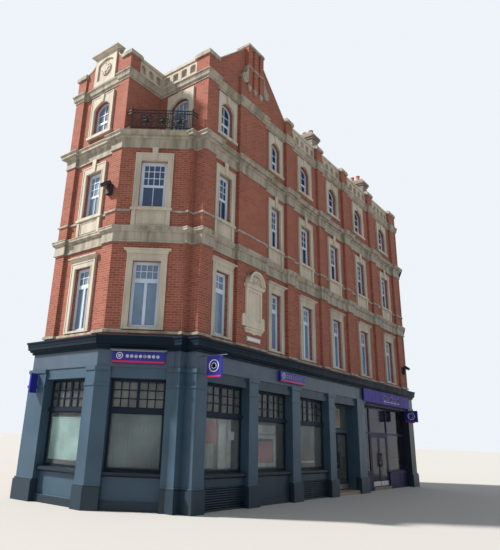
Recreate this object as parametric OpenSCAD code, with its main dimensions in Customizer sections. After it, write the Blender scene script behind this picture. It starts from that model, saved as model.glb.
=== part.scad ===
// Four-storey corner shop building in brick with stone dressings.
// The long street face runs along +X, the short left face runs along +Y.
// A splayed corner joins the two faces and carries a balcony at the top storey.
// All sizes are in millimetres and the ground is at z = 0.

/* [Plan] */
// Length of short left street face
left_len = 2870; // [2600:10:3400]
// Run of the splayed corner along the long face
splay_x = 1350; // [1250:10:1500]
// Run of the splayed corner along the left face
splay_y = 1700; // [1550:10:1900]
// First fold beside splay
fold_a = 120; // [80:5:160]
// Fold that runs along long face
fold_b = 250; // [200:5:320]
// Left side of corner pier beside folds
fold_c = 400; // [340:5:480]
// Depth of window bays behind brick piers
pier_step = 110; // [70:5:140]
// Thickness of outer walls behind bays
wall_t = 340; // [280:5:400]
// Length of cornice returns round left end
end_return = 420; // [300:10:600]
// Joint left between separately made pieces
seam = 0.5; // [0.3:0.1:2]

/* [Street bays] */
// Width of each brick pier on long face, from corner to party end
pier_widths = [545, 1700, 500, 490, 560, 580, 890];
// Width of each recessed window bay on long face
bay_widths = [1355, 1530, 2200, 2080, 2560, 2480];
// Shift of each window from middle of its bay
bay_shift = [-32.5, 25, 0, 0, 0, 0];
// Clear width of each window on long face
bay_open = [690, 650, 780, 800, 850, 880];
// Width of left-face pier beside splay
near_pier = 470; // [420:5:560]
// Width of left-face pier at far end
far_pier = 460; // [420:5:560]
// Centre of left-face windows, from far end
left_mid = 1485; // [1440:5:1520]
// Clear width of left-face windows
left_open = 790; // [740:5:840]
// Centre of splay windows, from left corner
splay_mid = 1110; // [1080:5:1140]
// Clear width of splay windows
splay_open = 850; // [800:5:900]

/* [Storey heights] */
// Height of ground floor and of doorway steps
floor_z = 130; // [90:5:160]
// Height of underside of painted fascia
fascia_z = 3700; // [3600:10:3800]
// Height of painted fascia
fascia_h = 480; // [440:5:520]
// Height of shop cornice
shop_cornice_h = 470; // [420:5:520]
// Height of brick between shop cornice and ledge
ledge_rise = 40; // [20:5:80]
// Height of stone ledge
ledge_h = 110; // [80:5:140]
// Height of first-floor sills above ledge
first_sill_h = 70; // [40:5:120]
// Height of first-floor windows
first_window_h = 2030; // [1900:10:2160]
// Height of wall over first-floor windows
first_over_h = 600; // [520:10:680]
// Height of stone band between first and second floors
band_h = 540; // [480:5:600]
// Height of second-floor sills above band
second_sill_h = 600; // [540:5:660]
// Height of second-floor windows
second_window_h = 1660; // [1560:10:1760]
// Height of wall over second-floor windows
second_over_h = 480; // [430:5:540]
// Height of main cornice
main_h = 640; // [580:5:700]
// Height of third-floor sills above main cornice
third_sill_h = 410; // [360:5:460]
// Height of third-floor windows up to springing
third_window_h = 1050; // [980:10:1120]
// Rise of third-floor arches
third_rise = 230; // [200:5:260]
// Height of third-floor stone heads above springing
third_head_h = 540; // [500:5:580]
// Height of brick over third-floor stone heads
third_over_h = 120; // [80:5:160]
// Height of upper cornice
upper_h = 360; // [320:5:400]
// Drop of first floor below ledge
first_floor_drop = 340; // [280:5:400]
// Rise of second floor above underside of band
second_floor_rise = 520; // [460:5:580]
// Rise of third floor above underside of main cornice
third_floor_rise = 460; // [420:5:500]
// Thickness of upper floor slabs
slab_t = 220; // [160:10:280]

/* [Stone dressings] */
// Projection of ledge
ledge_out = 60; // [40:5:80]
// Projection of stone band
band_out = 135; // [110:5:160]
// Projection of main cornice
main_out = 236; // [200:4:260]
// Width of flat course on top of main cornice
blocking_out = 130; // [125:5:150]
// Projection of upper cornice
upper_out = 131; // [110:1:150]
// Projection of string course at second-floor sills
string_out = 45; // [30:5:60]
// Height of string course
string_h = 85; // [70:5:100]
// Drop of string course below second-floor sills
string_drop = 125; // [100:5:150]
// Width of stone architraves round windows
architrave = 190; // [150:5:210]
// Projection of stone architraves from wall
architrave_out = 60; // [40:5:80]
// Height of plain heads over first-floor windows
first_lintel_h = 205; // [170:5:240]
// Height of plain heads over second-floor windows
second_lintel_h = 280; // [240:5:320]
// Height of hoods over first-floor windows
hood_h = 175; // [140:5:200]
// Projection of hoods over first-floor windows
hood_out = 105; // [80:5:110]
// Height of window sill stones
sill_h = 80; // [60:5:110]
// Overhang of window sill stones
sill_out = 45; // [30:5:60]
// Width of keystones at foot
key_w = 130; // [100:5:160]
// Projection of keystones from architraves
key_out = 40; // [25:5:60]

/* [Windows] */
// Width of balcony doorway
balcony_open = 830; // [780:5:880]
// Centre of balcony doorway from inner corner
balcony_mid = 1000; // [960:5:1060]
// Height of balcony doorstep
door_step = 40; // [20:5:60]
// Depth of window frames
frame_t = 70; // [50:5:90]
// Width of window frame members
frame_w = 65; // [50:5:80]
// Set-back of window frames from wall face
frame_back = 110; // [80:5:140]
// Height of transom above first-floor sills
first_rail = 1400; // [1300:10:1500]
// Height of meeting rail above second-floor sills
second_rail = 780; // [700:10:860]
// Height of meeting rail above third-floor sills
third_rail = 470; // [420:10:560]
// Height of transoms and meeting rails
rail_w = 80; // [60:5:100]
// Thickness of window glass
glass_t = 12; // [8:1:20]
// Lift of first-floor rear sills over front ones
rear_lift = 300; // [200:10:400]

/* [Shopfront] */
// Projection of painted shopfront from brick
shop_out = 200; // [160:5:240]
// Projection of shop cornice beyond shopfront
shop_cornice_out = 170; // [140:5:200]
// Height of pilaster bases
base_h = 560; // [500:10:620]
// Projection of pilaster bases
base_out = 60; // [40:5:70]
// Height of pilaster capitals
capital_h = 110; // [80:5:140]
// Projection of pilaster capitals
capital_out = 30; // [20:5:35]
// Drop of necking below fascia
necking_drop = 530; // [480:10:580]
// Height of necking
necking_h = 70; // [50:5:90]
// Top of shop window sills
shop_sill = 960; // [920:5:1000]
// Height of shop sill boards
shop_sill_h = 140; // [110:5:160]
// Height of plinth under shop windows
plinth_h = 210; // [180:5:240]
// Projection of plinth from brick
plinth_out = 100; // [90:5:130]
// Projection of panels under shop windows
riser_out = 60; // [40:5:80]
// Projection of boards over shop windows and of sills
board_out = 130; // [110:5:150]
// Set-back of shop windows behind brick face
shop_set = 100; // [60:5:140]
// Width of shop frame members
shop_frame_w = 75; // [60:5:90]
// Height of louvred openings under shop windows
grille_h = 560; // [480:10:620]
// Border round louvred openings
grille_border = 60; // [40:5:80]
// Number of louvres in each opening
louvres = 9; // [6:1:12]
// Top of shop window frames
shop_head = 3400; // [3350:5:3450]
// Underside of shop window transoms
transom_z = 2450; // [2400:5:2500]
// Height of shop window transoms
transom_h = 170; // [120:5:190]
// Left edges of shop pilasters on long face
pilaster_left = [2392, 5017, 7782, 10429];
// Right edges of shop pilasters on long face
pilaster_right = [2893, 5542, 8285, 11166];
// Width of shop pilaster at party end
end_pilaster = 660; // [600:10:720]
// Distance of end pilaster from party end
end_margin = 170; // [120:5:220]
// Inner edge of left-face pilaster, from far end
left_pilaster_right = 640; // [600:5:700]
// Run of corner pilaster along left face
corner_run = 340; // [300:5:400]
// Run of left-hand splay pilaster along splay
splay_run = 360; // [320:5:400]
// Clear run between splay pilasters
splay_clear = 1570; // [1500:5:1620]
// Run of street pier pilaster along long face
pier_run = 300; // [260:5:340]
// Projection of fascia from brick
fascia_out = 160; // [130:5:190]
// Set-back of entrance doors behind brick face
porch_y = 300; // [260:5:360]
// Height of entrance doorway
door_h = 2180; // [2120:5:2240]
// Width of entrance side frames
jamb_w = 80; // [60:5:100]
// Height of cross rail over entrance
door_head = 110; // [80:5:140]
// Thickness of linings at sides of entrance
lining_t = 40; // [25:5:60]
// Width of door stiles
stile = 95; // [80:5:120]
// Height of door bottom rails
kick = 240; // [180:5:300]
// Thickness of door leaves
leaf_t = 45; // [40:1:55]
// Clearance round each door leaf
door_gap = 8; // [6:1:12]
// Length of door pull bars
pull_h = 600; // [400:10:800]
// Thickness of door pull bars
pull_d = 30; // [20:1:36]
// Underside of cross rail over side shop doors
side_transom = 2330; // [2290:5:2380]
// Side shop doorway between its mullion centres on long face
side_door = [12338, 14299];
// Top of risers under side shop windows
side_riser = 720; // [680:5:760]
// Top of side shop frames
side_top = 3520; // [3480:5:3560]

/* [Signs and lamps] */
// Distance of splay sign from left corner
splay_sign_at = 381; // [360:1:420]
// Width of splay sign
splay_sign_w = 1481; // [1400:1:1500]
// Distance of long-face sign from corner pier
long_sign_at = 4135; // [4100:5:4200]
// Width of long-face sign
long_sign_w = 1655; // [1500:5:1700]
// Height of sign panels above underside of fascia
sign_rise = 100; // [60:5:140]
// Height of sign panels
sign_h = 340; // [300:5:360]
// Thickness of sign panels
sign_t = 70; // [50:5:90]
// Reach of trough lamp beyond splay sign
trough_out = 90; // [60:5:120]
// Height of side shop board
side_board_h = 560; // [500:5:600]
// Drop of side shop board below fascia
side_board_drop = 50; // [30:5:80]
// Thickness of side shop board
side_board_t = 35; // [25:5:60]
// Laps of side shop board over pilasters at its ends
board_laps = [146, 32];
// Position of large projecting sign along long face
blade_at = 60; // [50:5:200]
// Width of large projecting sign
blade_w = 505; // [450:5:600]
// Height of large projecting sign
blade_h = 600; // [540:5:640]
// Drop of large projecting sign below fascia
blade_drop = 240; // [200:5:280]
// Reach of projecting sign bracket from brick
blade_reach = 1050; // [950:5:1100]
// Length of bracket beyond large projecting sign
blade_tip = 170; // [100:5:200]
// Gap between end projecting sign and end pilaster
end_blade_gap = 560; // [500:5:620]
// Reach of end projecting sign beyond shopfront
end_blade_reach = 650; // [550:5:700]
// Height of underside of end projecting signs
end_blade_z = 3000; // [2950:5:3050]
// Height of end projecting sign
end_blade_h = 520; // [450:5:560]
// Reach of left projecting sign from brick
left_blade_reach = 470; // [440:5:520]
// Thickness of sign brackets
bracket_t = 25; // [16:1:32]
// Length of floodlight arms
lamp_arm = 260; // [200:5:320]
// Distance of left floodlight from splay
lamp_side = 330; // [250:5:400]
// Height of left floodlight
lamp_high = 9350; // [9250:10:9450]
// Distance of right floodlight from party end
lamp_inset = 570; // [450:5:700]
// Height of right floodlight
lamp_low = 5650; // [5550:10:5750]

/* [Parapet and roof] */
// Depth of street pier over balcony wall
p_pier = 580; // [540:5:620]
// Height of brick parapet piers
pier_h = 630; // [560:5:700]
// Height of stone parapets
parapet_h = 740; // [660:5:800]
// Thickness of parapet walls and piers
parapet_t = 330; // [280:5:380]
// Spacing of sunk panels in long-face parapets
panel_pitch = 480; // [420:10:560]
// Number of sunk panels in tower and balcony-wall parapets
tower_panels = [3, 4];
// Depth of sunk panels
panel_d = 120; // [80:5:140]
// Height of stone pier caps
cap_h = 190; // [150:5:220]
// Projection of stone pier caps
cap_out = 60; // [40:5:80]
// Projection of coping lip on stone parapets
coping_lip = 10; // [5:1:15]
// Height of carved panel on left face
crest_h = 1390; // [1250:10:1500]
// Width of carved panel
crest_w = 1140; // [1050:10:1200]
// Thickness of carved panel
crest_t = 260; // [220:5:300]
// Overhang of coping over carved panel
crest_over = 140; // [100:5:160]
// Height of coping over carved panel
crest_cap_h = 160; // [120:5:200]
// Height of swept brick wings beside carved panel
wing_h = 1230; // [1150:10:1300]
// Height of gable apex before stack cuts it
gable_h = 2890; // [2780:10:3000]
// Shift of gable apex and its stack from middle of gable
gable_shift = -60; // [-100:5:0]
// Fall of gable slopes for each unit of run
gable_fall = 0.947; // [0.9:0.005:1]
// Height of brick shoulders in front of gable
shoulder_h = 890; // [820:10:960]
// Thickness of gable coping
coping_t = 50; // [40:5:80]
// Overhang of gable coping
coping_out = 25; // [15:5:50]
// Height of ribbed gable stack
stack_h = 2490; // [2400:10:2560]
// Width of ribbed gable stack
stack_w = 1040; // [960:5:1100]
// Depth of ribbed gable stack behind brick face
stack_d = 500; // [460:5:560]
// Number of brick ribs on gable stack
ribs = 3; // [2:1:5]
// Width of brick ribs
rib_w = 240; // [160:5:280]
// Projection of brick ribs
rib_out = 60; // [45:5:80]
// Height of foot of brick ribs
rib_foot = 700; // [640:5:760]
// Height of stone pendants under ribs
pendant_h = 260; // [200:5:300]
// Width of scrolls beside stack
scroll_w = 400; // [340:5:420]
// Height of scrolls above shoulders
scroll_h = 620; // [560:10:625]
// Projection of scrolls
scroll_out = 80; // [65:5:100]
// Height of cap on stack
stack_cap_h = 105; // [80:5:130]
// Height of stone string round stack
stack_string_h = 1520; // [1450:5:1600]
// Height of brick parapet along rear
rear_parapet_h = 420; // [360:10:500]
// Distance of each chimney from party end
chimney_inset = [7380, 1090];
// Number of pots on each chimney
pot_count = [3, 2];
// Spacing of chimney pots
pot_pitch = 350; // [320:5:370]
// Height of pots on each chimney
pot_h = [180, 330];
// Width of chimney pots
pot_d = 250; // [220:5:270]
// Distance of chimneys behind street face
chimney_back = 1220; // [1100:10:1300]
// Width of chimney stacks
chimney_w = 620; // [560:5:680]
// Depth of chimney stacks
chimney_d = 1150; // [1000:10:1250]
// Height of chimney stacks above roof deck
chimney_h = 3180; // [3000:10:3300]
// Height of chimney caps
chimney_cap_h = 450; // [380:5:500]
// Height of roof deck above underside of upper cornice
deck_rise = 60; // [40:5:80]
// Thickness of roof deck
deck_t = 200; // [160:5:240]
// Rise of slate roof
roof_rise = 1250; // [1000:10:1400]
// Thickness of slate roof
slate_t = 120; // [90:5:160]
// Walkway between slate roof and walls
gutter_w = 300; // [250:10:400]

/* [Balcony] */
// Height of balcony railing
rail_h = 780; // [700:10:820]
// Distance of left railing post from left corner
rail_left = 240; // [200:5:300]
// Length of balcony railing
rail_len = 2020; // [1900:10:2060]
// Projection of railing from splay
rail_out = 100; // [60:1:100]
// Gap between railing balusters
baluster_gap = 57; // [50:1:90]
// Thickness of railing balusters
baluster_d = 16; // [12:1:22]
// Width of railing end posts
post_w = 44; // [36:1:60]
// Drop of balcony floor below its kerb
balcony_drop = 60; // [40:5:80]

/* [Plaque] */
// Shift of plaque from middle of its pier
plaque_shift = 75; // [0:5:100]
// Width of plaque
plaque_w = 930; // [860:5:980]
// Height of plaque frame
plaque_h = 1310; // [1250:10:1350]
// Height of plaque frame above ledge
plaque_rise = 690; // [650:10:720]
// Projection of plaque
plaque_out = 60; // [40:5:80]
// Height of moulding between plaque frame and its hood
plaque_mould = 140; // [110:5:160]
// Radius of arched plaque hood
hood_r = 470; // [440:5:490]
// Width of ring of plaque hood
hood_ring = 130; // [100:5:150]
// Projection of plaque hood
plaque_hood = 200; // [150:5:220]
// Number of flutes in shell under hood
flutes = 7; // [5:2:9]
// Width of ears beside plaque
ear_w = 185; // [150:5:200]
// Height of ears beside plaque
ear_h = 410; // [360:10:460]
// Height of moulded base under plaque
plaque_base = 190; // [150:5:220]
// Width of street name plate
plate_w = 793; // [700:1:820]
// Height of street name plate
plate_h = 150; // [120:5:180]
// Height of street name plate above ledge
plate_rise = 120; // [100:5:140]

/* [Node] */
// Names of sub-parts
// Sub-part to draw, or all

/* [Hidden] */
$fn = 32;
brick = [0.6, 0.3, 0.22];
stone = [0.74, 0.7, 0.6];
paint = [0.2, 0.27, 0.33];
side_paint = [0.27, 0.25, 0.35];
joinery = [0.11, 0.14, 0.18];
clear = [0.38, 0.46, 0.52];
function total(v, n, i = 0) = i >= n ? 0 : v[i] + total(v, n, i + 1);
bays = len(bay_widths);
bay_left = [for (i = [0:bays - 1]) total(pier_widths, i + 1) + total(bay_widths, i)];
bay_right = [for (i = [0:bays - 1]) bay_left[i] + bay_widths[i]];
bay_mid = [for (i = [0:bays - 1]) bay_left[i] + bay_widths[i] / 2 + bay_shift[i]];
long_len = bay_right[bays - 1] + pier_widths[bays];
px = splay_x + fold_b;
py = -(splay_y + fold_a + fold_c);
rx = px + long_len;
shop_cornice_z = fascia_z + fascia_h;
ledge_z = shop_cornice_z + shop_cornice_h + ledge_rise;
first_sill = ledge_z + ledge_h + first_sill_h;
first_head = first_sill + first_window_h;
band_z = first_head + first_over_h;
second_sill = band_z + band_h + second_sill_h;
second_head = second_sill + second_window_h;
string_z = second_sill - string_drop;
main_z = second_head + second_over_h;
deck_z = main_z + main_h;
third_sill = deck_z + third_sill_h;
third_spring = third_sill + third_window_h;
third_top = third_spring + third_head_h;
upper_z = third_top + third_over_h;
upper_top = upper_z + upper_h;
floor_levels = [ledge_z - first_floor_drop, band_z + second_floor_rise, main_z + third_floor_rise];
pier_top = upper_top + pier_h;
crest_ends = [left_len - left_mid - crest_w / 2, left_len - left_mid + crest_w / 2];
wing_low = pier_h + cap_h;
stack_z = upper_top + stack_h;
rib_z = upper_top + rib_foot;
deck_top = upper_z + deck_rise + deck_t;
chimney_z = deck_top + chimney_h;
chimney_front = py + chimney_back;
chimney_x = [for (d = chimney_inset) rx - d];
shop_tip = shop_out + shop_cornice_out;
mid_x = (rx - left_blade_reach) / 2;
mid_y = (left_len + shop_tip + py - blade_reach) / 2;
splay_turn = atan2(splay_y, splay_x);
splay_len = norm([splay_x, splay_y]);
inner = pier_step + wall_t;
splay_right = splay_run + splay_clear;
shop_left = concat(pilaster_left, [long_len - end_margin - end_pilaster]);
shop_right = concat(pilaster_right, [long_len - end_margin]);
bank_left = pilaster_right[2];
bank_right = pilaster_left[3];
bank_door = [bank_left + jamb_w, bank_right - jamb_w];
bank_leaf_w = (bank_door[1] - bank_door[0] - 3 * door_gap) / 2;
side_bay = [shop_right[3], shop_left[4]];
side_opening = [side_door[0] + shop_frame_w / 2, side_door[1] - shop_frame_w / 2];
side_leaf_w = (side_opening[1] - side_opening[0] - 3 * door_gap) / 2;
side_door_h = side_transom - floor_z - shop_frame_w / 2;
shop_bays = [
  [pier_run, pilaster_left[0]],
  [pilaster_right[0], pilaster_left[1]],
  [pilaster_right[1], pilaster_left[2]]
];
sign_z = fascia_z + sign_rise;
blade_z = fascia_z - blade_drop;
side_board_z = fascia_z - side_board_drop;
end_blade_at = side_bay[1] - end_blade_gap;
gable_left = bay_left[0];
gable_right = bay_right[1];
gable_mid = (gable_left + gable_right) / 2 + gable_shift;
gable_z = upper_top + gable_h;
stack_left = gable_mid - stack_w / 2;
stack_right = gable_mid + stack_w / 2;
plaque_mid = (bay_right[0] + bay_left[1]) / 2 + plaque_shift;
plaque_z = ledge_z + plaque_rise;
plaque_top = plaque_z + plaque_h;
plaque_spring = plaque_top + plaque_mould;
rear_rows = [
  [first_sill + rear_lift, first_head - rear_lift],
  [second_sill, second_head - rear_lift],
  [third_sill, third_spring]
];
corner_in = push([[0, left_len], [0, 0], [splay_x, -splay_y]], -inner)[1];
fold_in = [px, inner * splay_x / splay_len - (px - inner * splay_y / splay_len) * splay_y / splay_x];
rail_ends = [
  for (u = [rail_left, rail_left + rail_len])
    on_splay_line(u) - rail_out * [splay_y, splay_x] / splay_len
];
roof_x0 = px + wall_t + gutter_w / 2;
roof_x1 = rx - parapet_t - gutter_w / 3;
roof_y0 = py + inner + gutter_w;
roof_y1 = left_len - parapet_t - gutter_w;

function unit(v) = v / norm(v);
function side(a, b) = let(d = unit(b - a)) [d[1], -d[0]];
function flip(path) = [for (i = [len(path) - 1:-1:0]) path[i]];
function mitres(path) = [
  for (i = [0:len(path) - 1])
    let(
      n1 = i == 0 ? side(path[0], path[1]) : side(path[i - 1], path[i]),
      n2 = i == len(path) - 1 ? n1 : side(path[i], path[i + 1])
    )
    (n1 + n2) / (1 + n1 * n2)
];
function push(path, out) = let(m = mitres(path)) [for (i = [0:len(path) - 1]) path[i] + out * m[i]];
function on_splay_line(u) = [u * splay_x / splay_len, -u * splay_y / splay_len];
function street(points) = [for (q = points) [px, py] + q];
function bay_edge(i, hand) = bay_mid[i] + hand * (bay_open[i] / 2 + architrave + sill_out);
function arc(r, a, b, n) = [for (i = [0:n]) let(t = a + (b - a) * i / n) [r * cos(t), r * sin(t)]];
function fit(points, out, h) =
  let(a = max([for (p = points) p[0]]), b = max([for (p = points) p[1]]))
  [for (p = points) [p[0] * out / a, p[1] * h / b]];
function ovolo(a, b, n = 4) = [
  for (i = [0:n])
    let(t = 90 * i / n)
    [a[0] + (b[0] - a[0]) * sin(t), a[1] + (b[1] - a[1]) * (1 - cos(t))]
];
function cavetto(a, b, n = 4) = [
  for (i = [0:n])
    let(t = 90 * i / n)
    [a[0] + (b[0] - a[0]) * (1 - cos(t)), a[1] + (b[1] - a[1]) * sin(t)]
];

left_run = [
  [end_return, left_len],
  [0, left_len],
  [0, left_len - far_pier],
  [pier_step, left_len - far_pier],
  [pier_step, near_pier],
  [0, near_pier],
  [0, 0]
];
fold_run = [
  [splay_x, -splay_y],
  [splay_x, -splay_y - fold_a],
  [px, -splay_y - fold_a]
];
long_run = concat(
  [[px, py]],
  [for (i = [0:bays - 1])
    each [
      [px + bay_left[i], py],
      [px + bay_left[i], py + pier_step],
      [px + bay_right[i], py + pier_step],
      [px + bay_right[i], py]
    ]
  ],
  [[rx, py]]
);
low_path = concat(left_run, fold_run, long_run);
top_path = concat(left_run, [[px, 0]], long_run);
shop_path = concat([[end_return, left_len], [0, left_len], [0, 0]], fold_run, [[px, py], [rx, py]]);
pilaster_runs = [
  [[end_return, left_len], [0, left_len], [0, left_len - left_pilaster_right]],
  [[0, corner_run], [0, 0], on_splay_line(splay_run)],
  concat([on_splay_line(splay_right)], fold_run, [[px, py], [px + pier_run, py]])
];
left_edge = left_open / 2 + architrave + sill_out;
splay_edge = splay_open / 2 + architrave + sill_out;
string_runs = concat(
  [
    [
      [end_return, left_len],
      [0, left_len],
      [0, left_len - far_pier],
      [pier_step, left_len - far_pier],
      [pier_step, left_len - left_mid + left_edge]
    ],
    [
      [pier_step, left_len - left_mid - left_edge],
      [pier_step, near_pier],
      [0, near_pier],
      [0, 0],
      on_splay_line(splay_mid - splay_edge)
    ],
    concat(
      [on_splay_line(splay_mid + splay_edge)],
      fold_run,
      street([[0, 0], [bay_left[0], 0], [bay_left[0], pier_step], [bay_edge(0, -1), pier_step]])
    )
  ],
  [
    for (i = [0:bays - 2])
      street([
        [bay_edge(i, 1), pier_step],
        [bay_right[i], pier_step],
        [bay_right[i], 0],
        [bay_left[i + 1], 0],
        [bay_left[i + 1], pier_step],
        [bay_edge(i + 1, -1), pier_step]
      ])
  ],
  [
    street([
      [bay_edge(bays - 1, 1), pier_step],
      [bay_right[bays - 1], pier_step],
      [bay_right[bays - 1], 0],
      [long_len, 0]
    ])
  ]
);
windows_top = concat(
  [["left", left_mid, left_open]],
  [for (i = [0:bays - 1]) ["long", bay_mid[i], bay_open[i]]]
);
windows_low = concat([["splay", splay_mid, splay_open]], windows_top);

// Placement on the building faces, with x along the face and y into the wall
module placed() {
  translate([-mid_x, -mid_y, 0])
    children();
}

module on_long() {
  translate([px, py, 0])
    children();
}

module on_left() {
  translate([0, left_len, 0])
    rotate([0, 0, -90])
      children();
}

module on_splay() {
  rotate([0, 0, -splay_turn])
    children();
}

module on_notch() {
  translate([px, 0, 0])
    rotate([0, 0, -90])
      children();
}

module at_window(w) {
  if (w[0] == "left")
    on_left()
      translate([w[1], pier_step, 0])
        children();
  else if (w[0] == "splay")
    on_splay()
      translate([w[1], 0, 0])
        children();
  else
    on_long()
      translate([w[1], pier_step, 0])
        children();
}

module at_rear(i) {
  translate([px + bay_mid[i], left_len, 0])
    rotate([0, 0, 180])
      children();
}

// Straight slab that follows a path between two offsets
module course(path, z, h, out, back = 0) {
  translate([0, 0, z])
    linear_extrude(h)
      polygon(concat(push(path, out), flip(push(path, back))));
}

// Moulding that follows a path with mitred corners, its profile given as [projection, height]
module moulding(path, profile, z) {
  m = mitres(path);
  n = len(profile);
  last = (len(path) - 1) * n;
  translate([0, 0, z])
    polyhedron(
      points = [
        for (i = [0:len(path) - 1])
          for (p = profile)
            [path[i][0] + p[0] * m[i][0], path[i][1] + p[0] * m[i][1], p[1]]
      ],
      faces = concat(
        [[for (j = [n - 1:-1:0]) j]],
        [
          for (i = [0:len(path) - 2])
            for (j = [0:n - 1])
              [i * n + j, i * n + (j + 1) % n, (i + 1) * n + (j + 1) % n, (i + 1) * n + j]
        ],
        [[for (j = [0:n - 1]) last + j]]
      )
    );
}

// Moulded block with its back to the wall, its sides given as [projection, height]
module hood(width, depth, profile, z) {
  n = len(profile);
  translate([0, 0, z])
    polyhedron(
      points = [
        for (p = profile)
          for (q = [[-1, 0], [-1, 1], [1, 1], [1, 0]])
            [q[0] * (width / 2 + p[0]), -q[1] * (depth + p[0]), p[1]]
      ],
      faces = concat(
        [[0, 1, 2, 3]],
        [
          for (j = [0:n - 2])
            for (k = [0:3])
              [j * 4 + (k + 1) % 4, j * 4 + k, j * 4 + 4 + k, j * 4 + 4 + (k + 1) % 4]
        ],
        [[for (k = [3:-1:0]) (n - 1) * 4 + k]]
      )
    );
}

// Box centred on x, from y0 into the wall
module block(w, y0, y1, z0, z1) {
  translate([-w / 2, y0, z0])
    cube([w, y1 - y0, z1 - z0]);
}

// Outline in the plane of a wall, given a depth
module upright(y0, y1) {
  translate([0, y1, 0])
    rotate([90, 0, 0])
      linear_extrude(y1 - y0)
        children();
}

// Flat arched shape with a segmental head
module arched(w, z0, spring, rise) {
  r = (w * w / 4 + rise * rise) / (2 * rise);
  translate([-w / 2, z0])
    square([w, spring - z0]);
  intersection() {
    translate([0, spring + rise - r])
      circle(r = r, $fn = 96);
    translate([-w / 2, spring - 1])
      square([w, rise + 2]);
  }
}

module arched_block(w, y0, y1, z0, spring, rise) {
  upright(y0, y1)
    arched(w, z0, spring, rise);
}

// Brick piers of the long face, with the jambs of the windows beside them up to the main cornice
module brick_piers() {
  end = long_len - wall_t;
  color(brick)
    on_long()
      for (i = [0:bays]) {
        left = i == 0 ? [0, 0] : [bay_right[i - 1], bay_mid[i - 1] + bay_open[i - 1] / 2];
        right = i == bays ? [end, end] : [bay_left[i], bay_mid[i] - bay_open[i] / 2];
        translate([left[0], 0, ledge_z])
          cube([right[0] - left[0], inner, upper_top - ledge_z]);
        translate([left[1], pier_step, ledge_z])
          cube([right[1] - left[1], wall_t, main_z - ledge_z]);
      }
}

// Brickwork of one storey under the sills and over the heads of the windows
module between_jambs(z0, sill, head, z1) {
  on_long()
    for (i = [0:bays - 1])
      translate([bay_mid[i], pier_step, 0]) {
        block(bay_open[i], 0, wall_t, z0, sill);
        block(bay_open[i], 0, wall_t, head, z1);
      }
}

module first_floor_wall() {
  color(brick) {
    translate([px, py, fascia_z])
      cube([long_len - wall_t, inner, ledge_z - fascia_z]);
    between_jambs(ledge_z, first_sill, first_head, band_z);
  }
}

module second_floor_wall() {
  color(brick)
    between_jambs(band_z, second_sill, second_head, main_z);
}

module third_floor_wall() {
  color(brick)
    on_long()
      for (i = [0:bays - 1])
        difference() {
          translate([bay_left[i], pier_step, main_z])
            cube([bay_widths[i], wall_t, upper_top - main_z]);
          translate([bay_mid[i], pier_step, 0])
            arched_block(bay_open[i], -10, wall_t + 10, third_sill, third_spring, third_rise);
        }
}

module corner_outline(path) {
  polygon(concat(path, [fold_in, corner_in, [inner, left_len]]));
}

module corner_wall() {
  color(brick)
    difference() {
      union() {
        translate([0, 0, fascia_z])
          linear_extrude(ledge_z - fascia_z)
            corner_outline(concat([[0, left_len], [0, 0]], fold_run));
        translate([0, 0, ledge_z])
          linear_extrude(deck_z - ledge_z)
            corner_outline(concat([for (i = [1:len(left_run) - 1]) left_run[i]], fold_run));
      }
      for (w = [windows_low[0], windows_low[1]])
        at_window(w) {
          block(w[2], -pier_step - 10, inner + 10, first_sill, first_head);
          block(w[2], -pier_step - 10, inner + 10, second_sill, second_head);
        }
    }
}

module tower_walls() {
  color(brick)
    difference() {
      union() {
        translate([0, 0, deck_z])
          linear_extrude(upper_top - deck_z)
            polygon(concat(
              [for (i = [1:len(left_run) - 1]) left_run[i]],
              [[px, 0], [px, wall_t], [inner, wall_t], [inner, left_len]]
            ));
        translate([px, py + inner, deck_z])
          cube([wall_t, wall_t - py - inner, upper_top - deck_z]);
      }
      on_left()
        translate([left_mid, pier_step, 0])
          arched_block(left_open, -pier_step - 10, wall_t + 10, third_sill, third_spring, third_rise);
      on_notch()
        translate([balcony_mid, 0, 0])
          arched_block(balcony_open, -10, wall_t + 10, deck_z + door_step, third_spring, third_rise);
    }
}

module rear_wall() {
  color(brick)
    difference() {
      translate([inner, left_len - wall_t, 0])
        cube([rx - wall_t - inner, wall_t, upper_top]);
      for (i = [1:bays - 1])
        at_rear(i)
          for (row = rear_rows)
            block(bay_open[i], -10, wall_t + 10, row[0], row[1]);
    }
}

module party_wall() {
  color(brick)
    translate([rx - wall_t, py, 0])
      cube([wall_t, left_len - py, upper_top]);
}

module ground_piers() {
  open_h = shop_head - shop_sill + shop_sill_h;
  color(brick) {
    difference() {
      linear_extrude(fascia_z)
        corner_outline(concat([[0, left_len], [0, 0]], fold_run));
      on_left()
        translate([left_pilaster_right, -10, shop_sill - shop_sill_h])
          cube([left_len - corner_run - left_pilaster_right, inner + 20, open_h]);
      on_splay()
        translate([splay_run, -10, shop_sill - shop_sill_h])
          cube([splay_right - splay_run, inner + 300, open_h]);
    }
    on_long() {
      cube([pier_run, inner, fascia_z]);
      for (i = [0:len(shop_left) - 1])
        translate([shop_left[i], 0, 0])
          cube([min(shop_right[i], long_len - wall_t) - shop_left[i], inner, fascia_z]);
    }
  }
}

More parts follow.
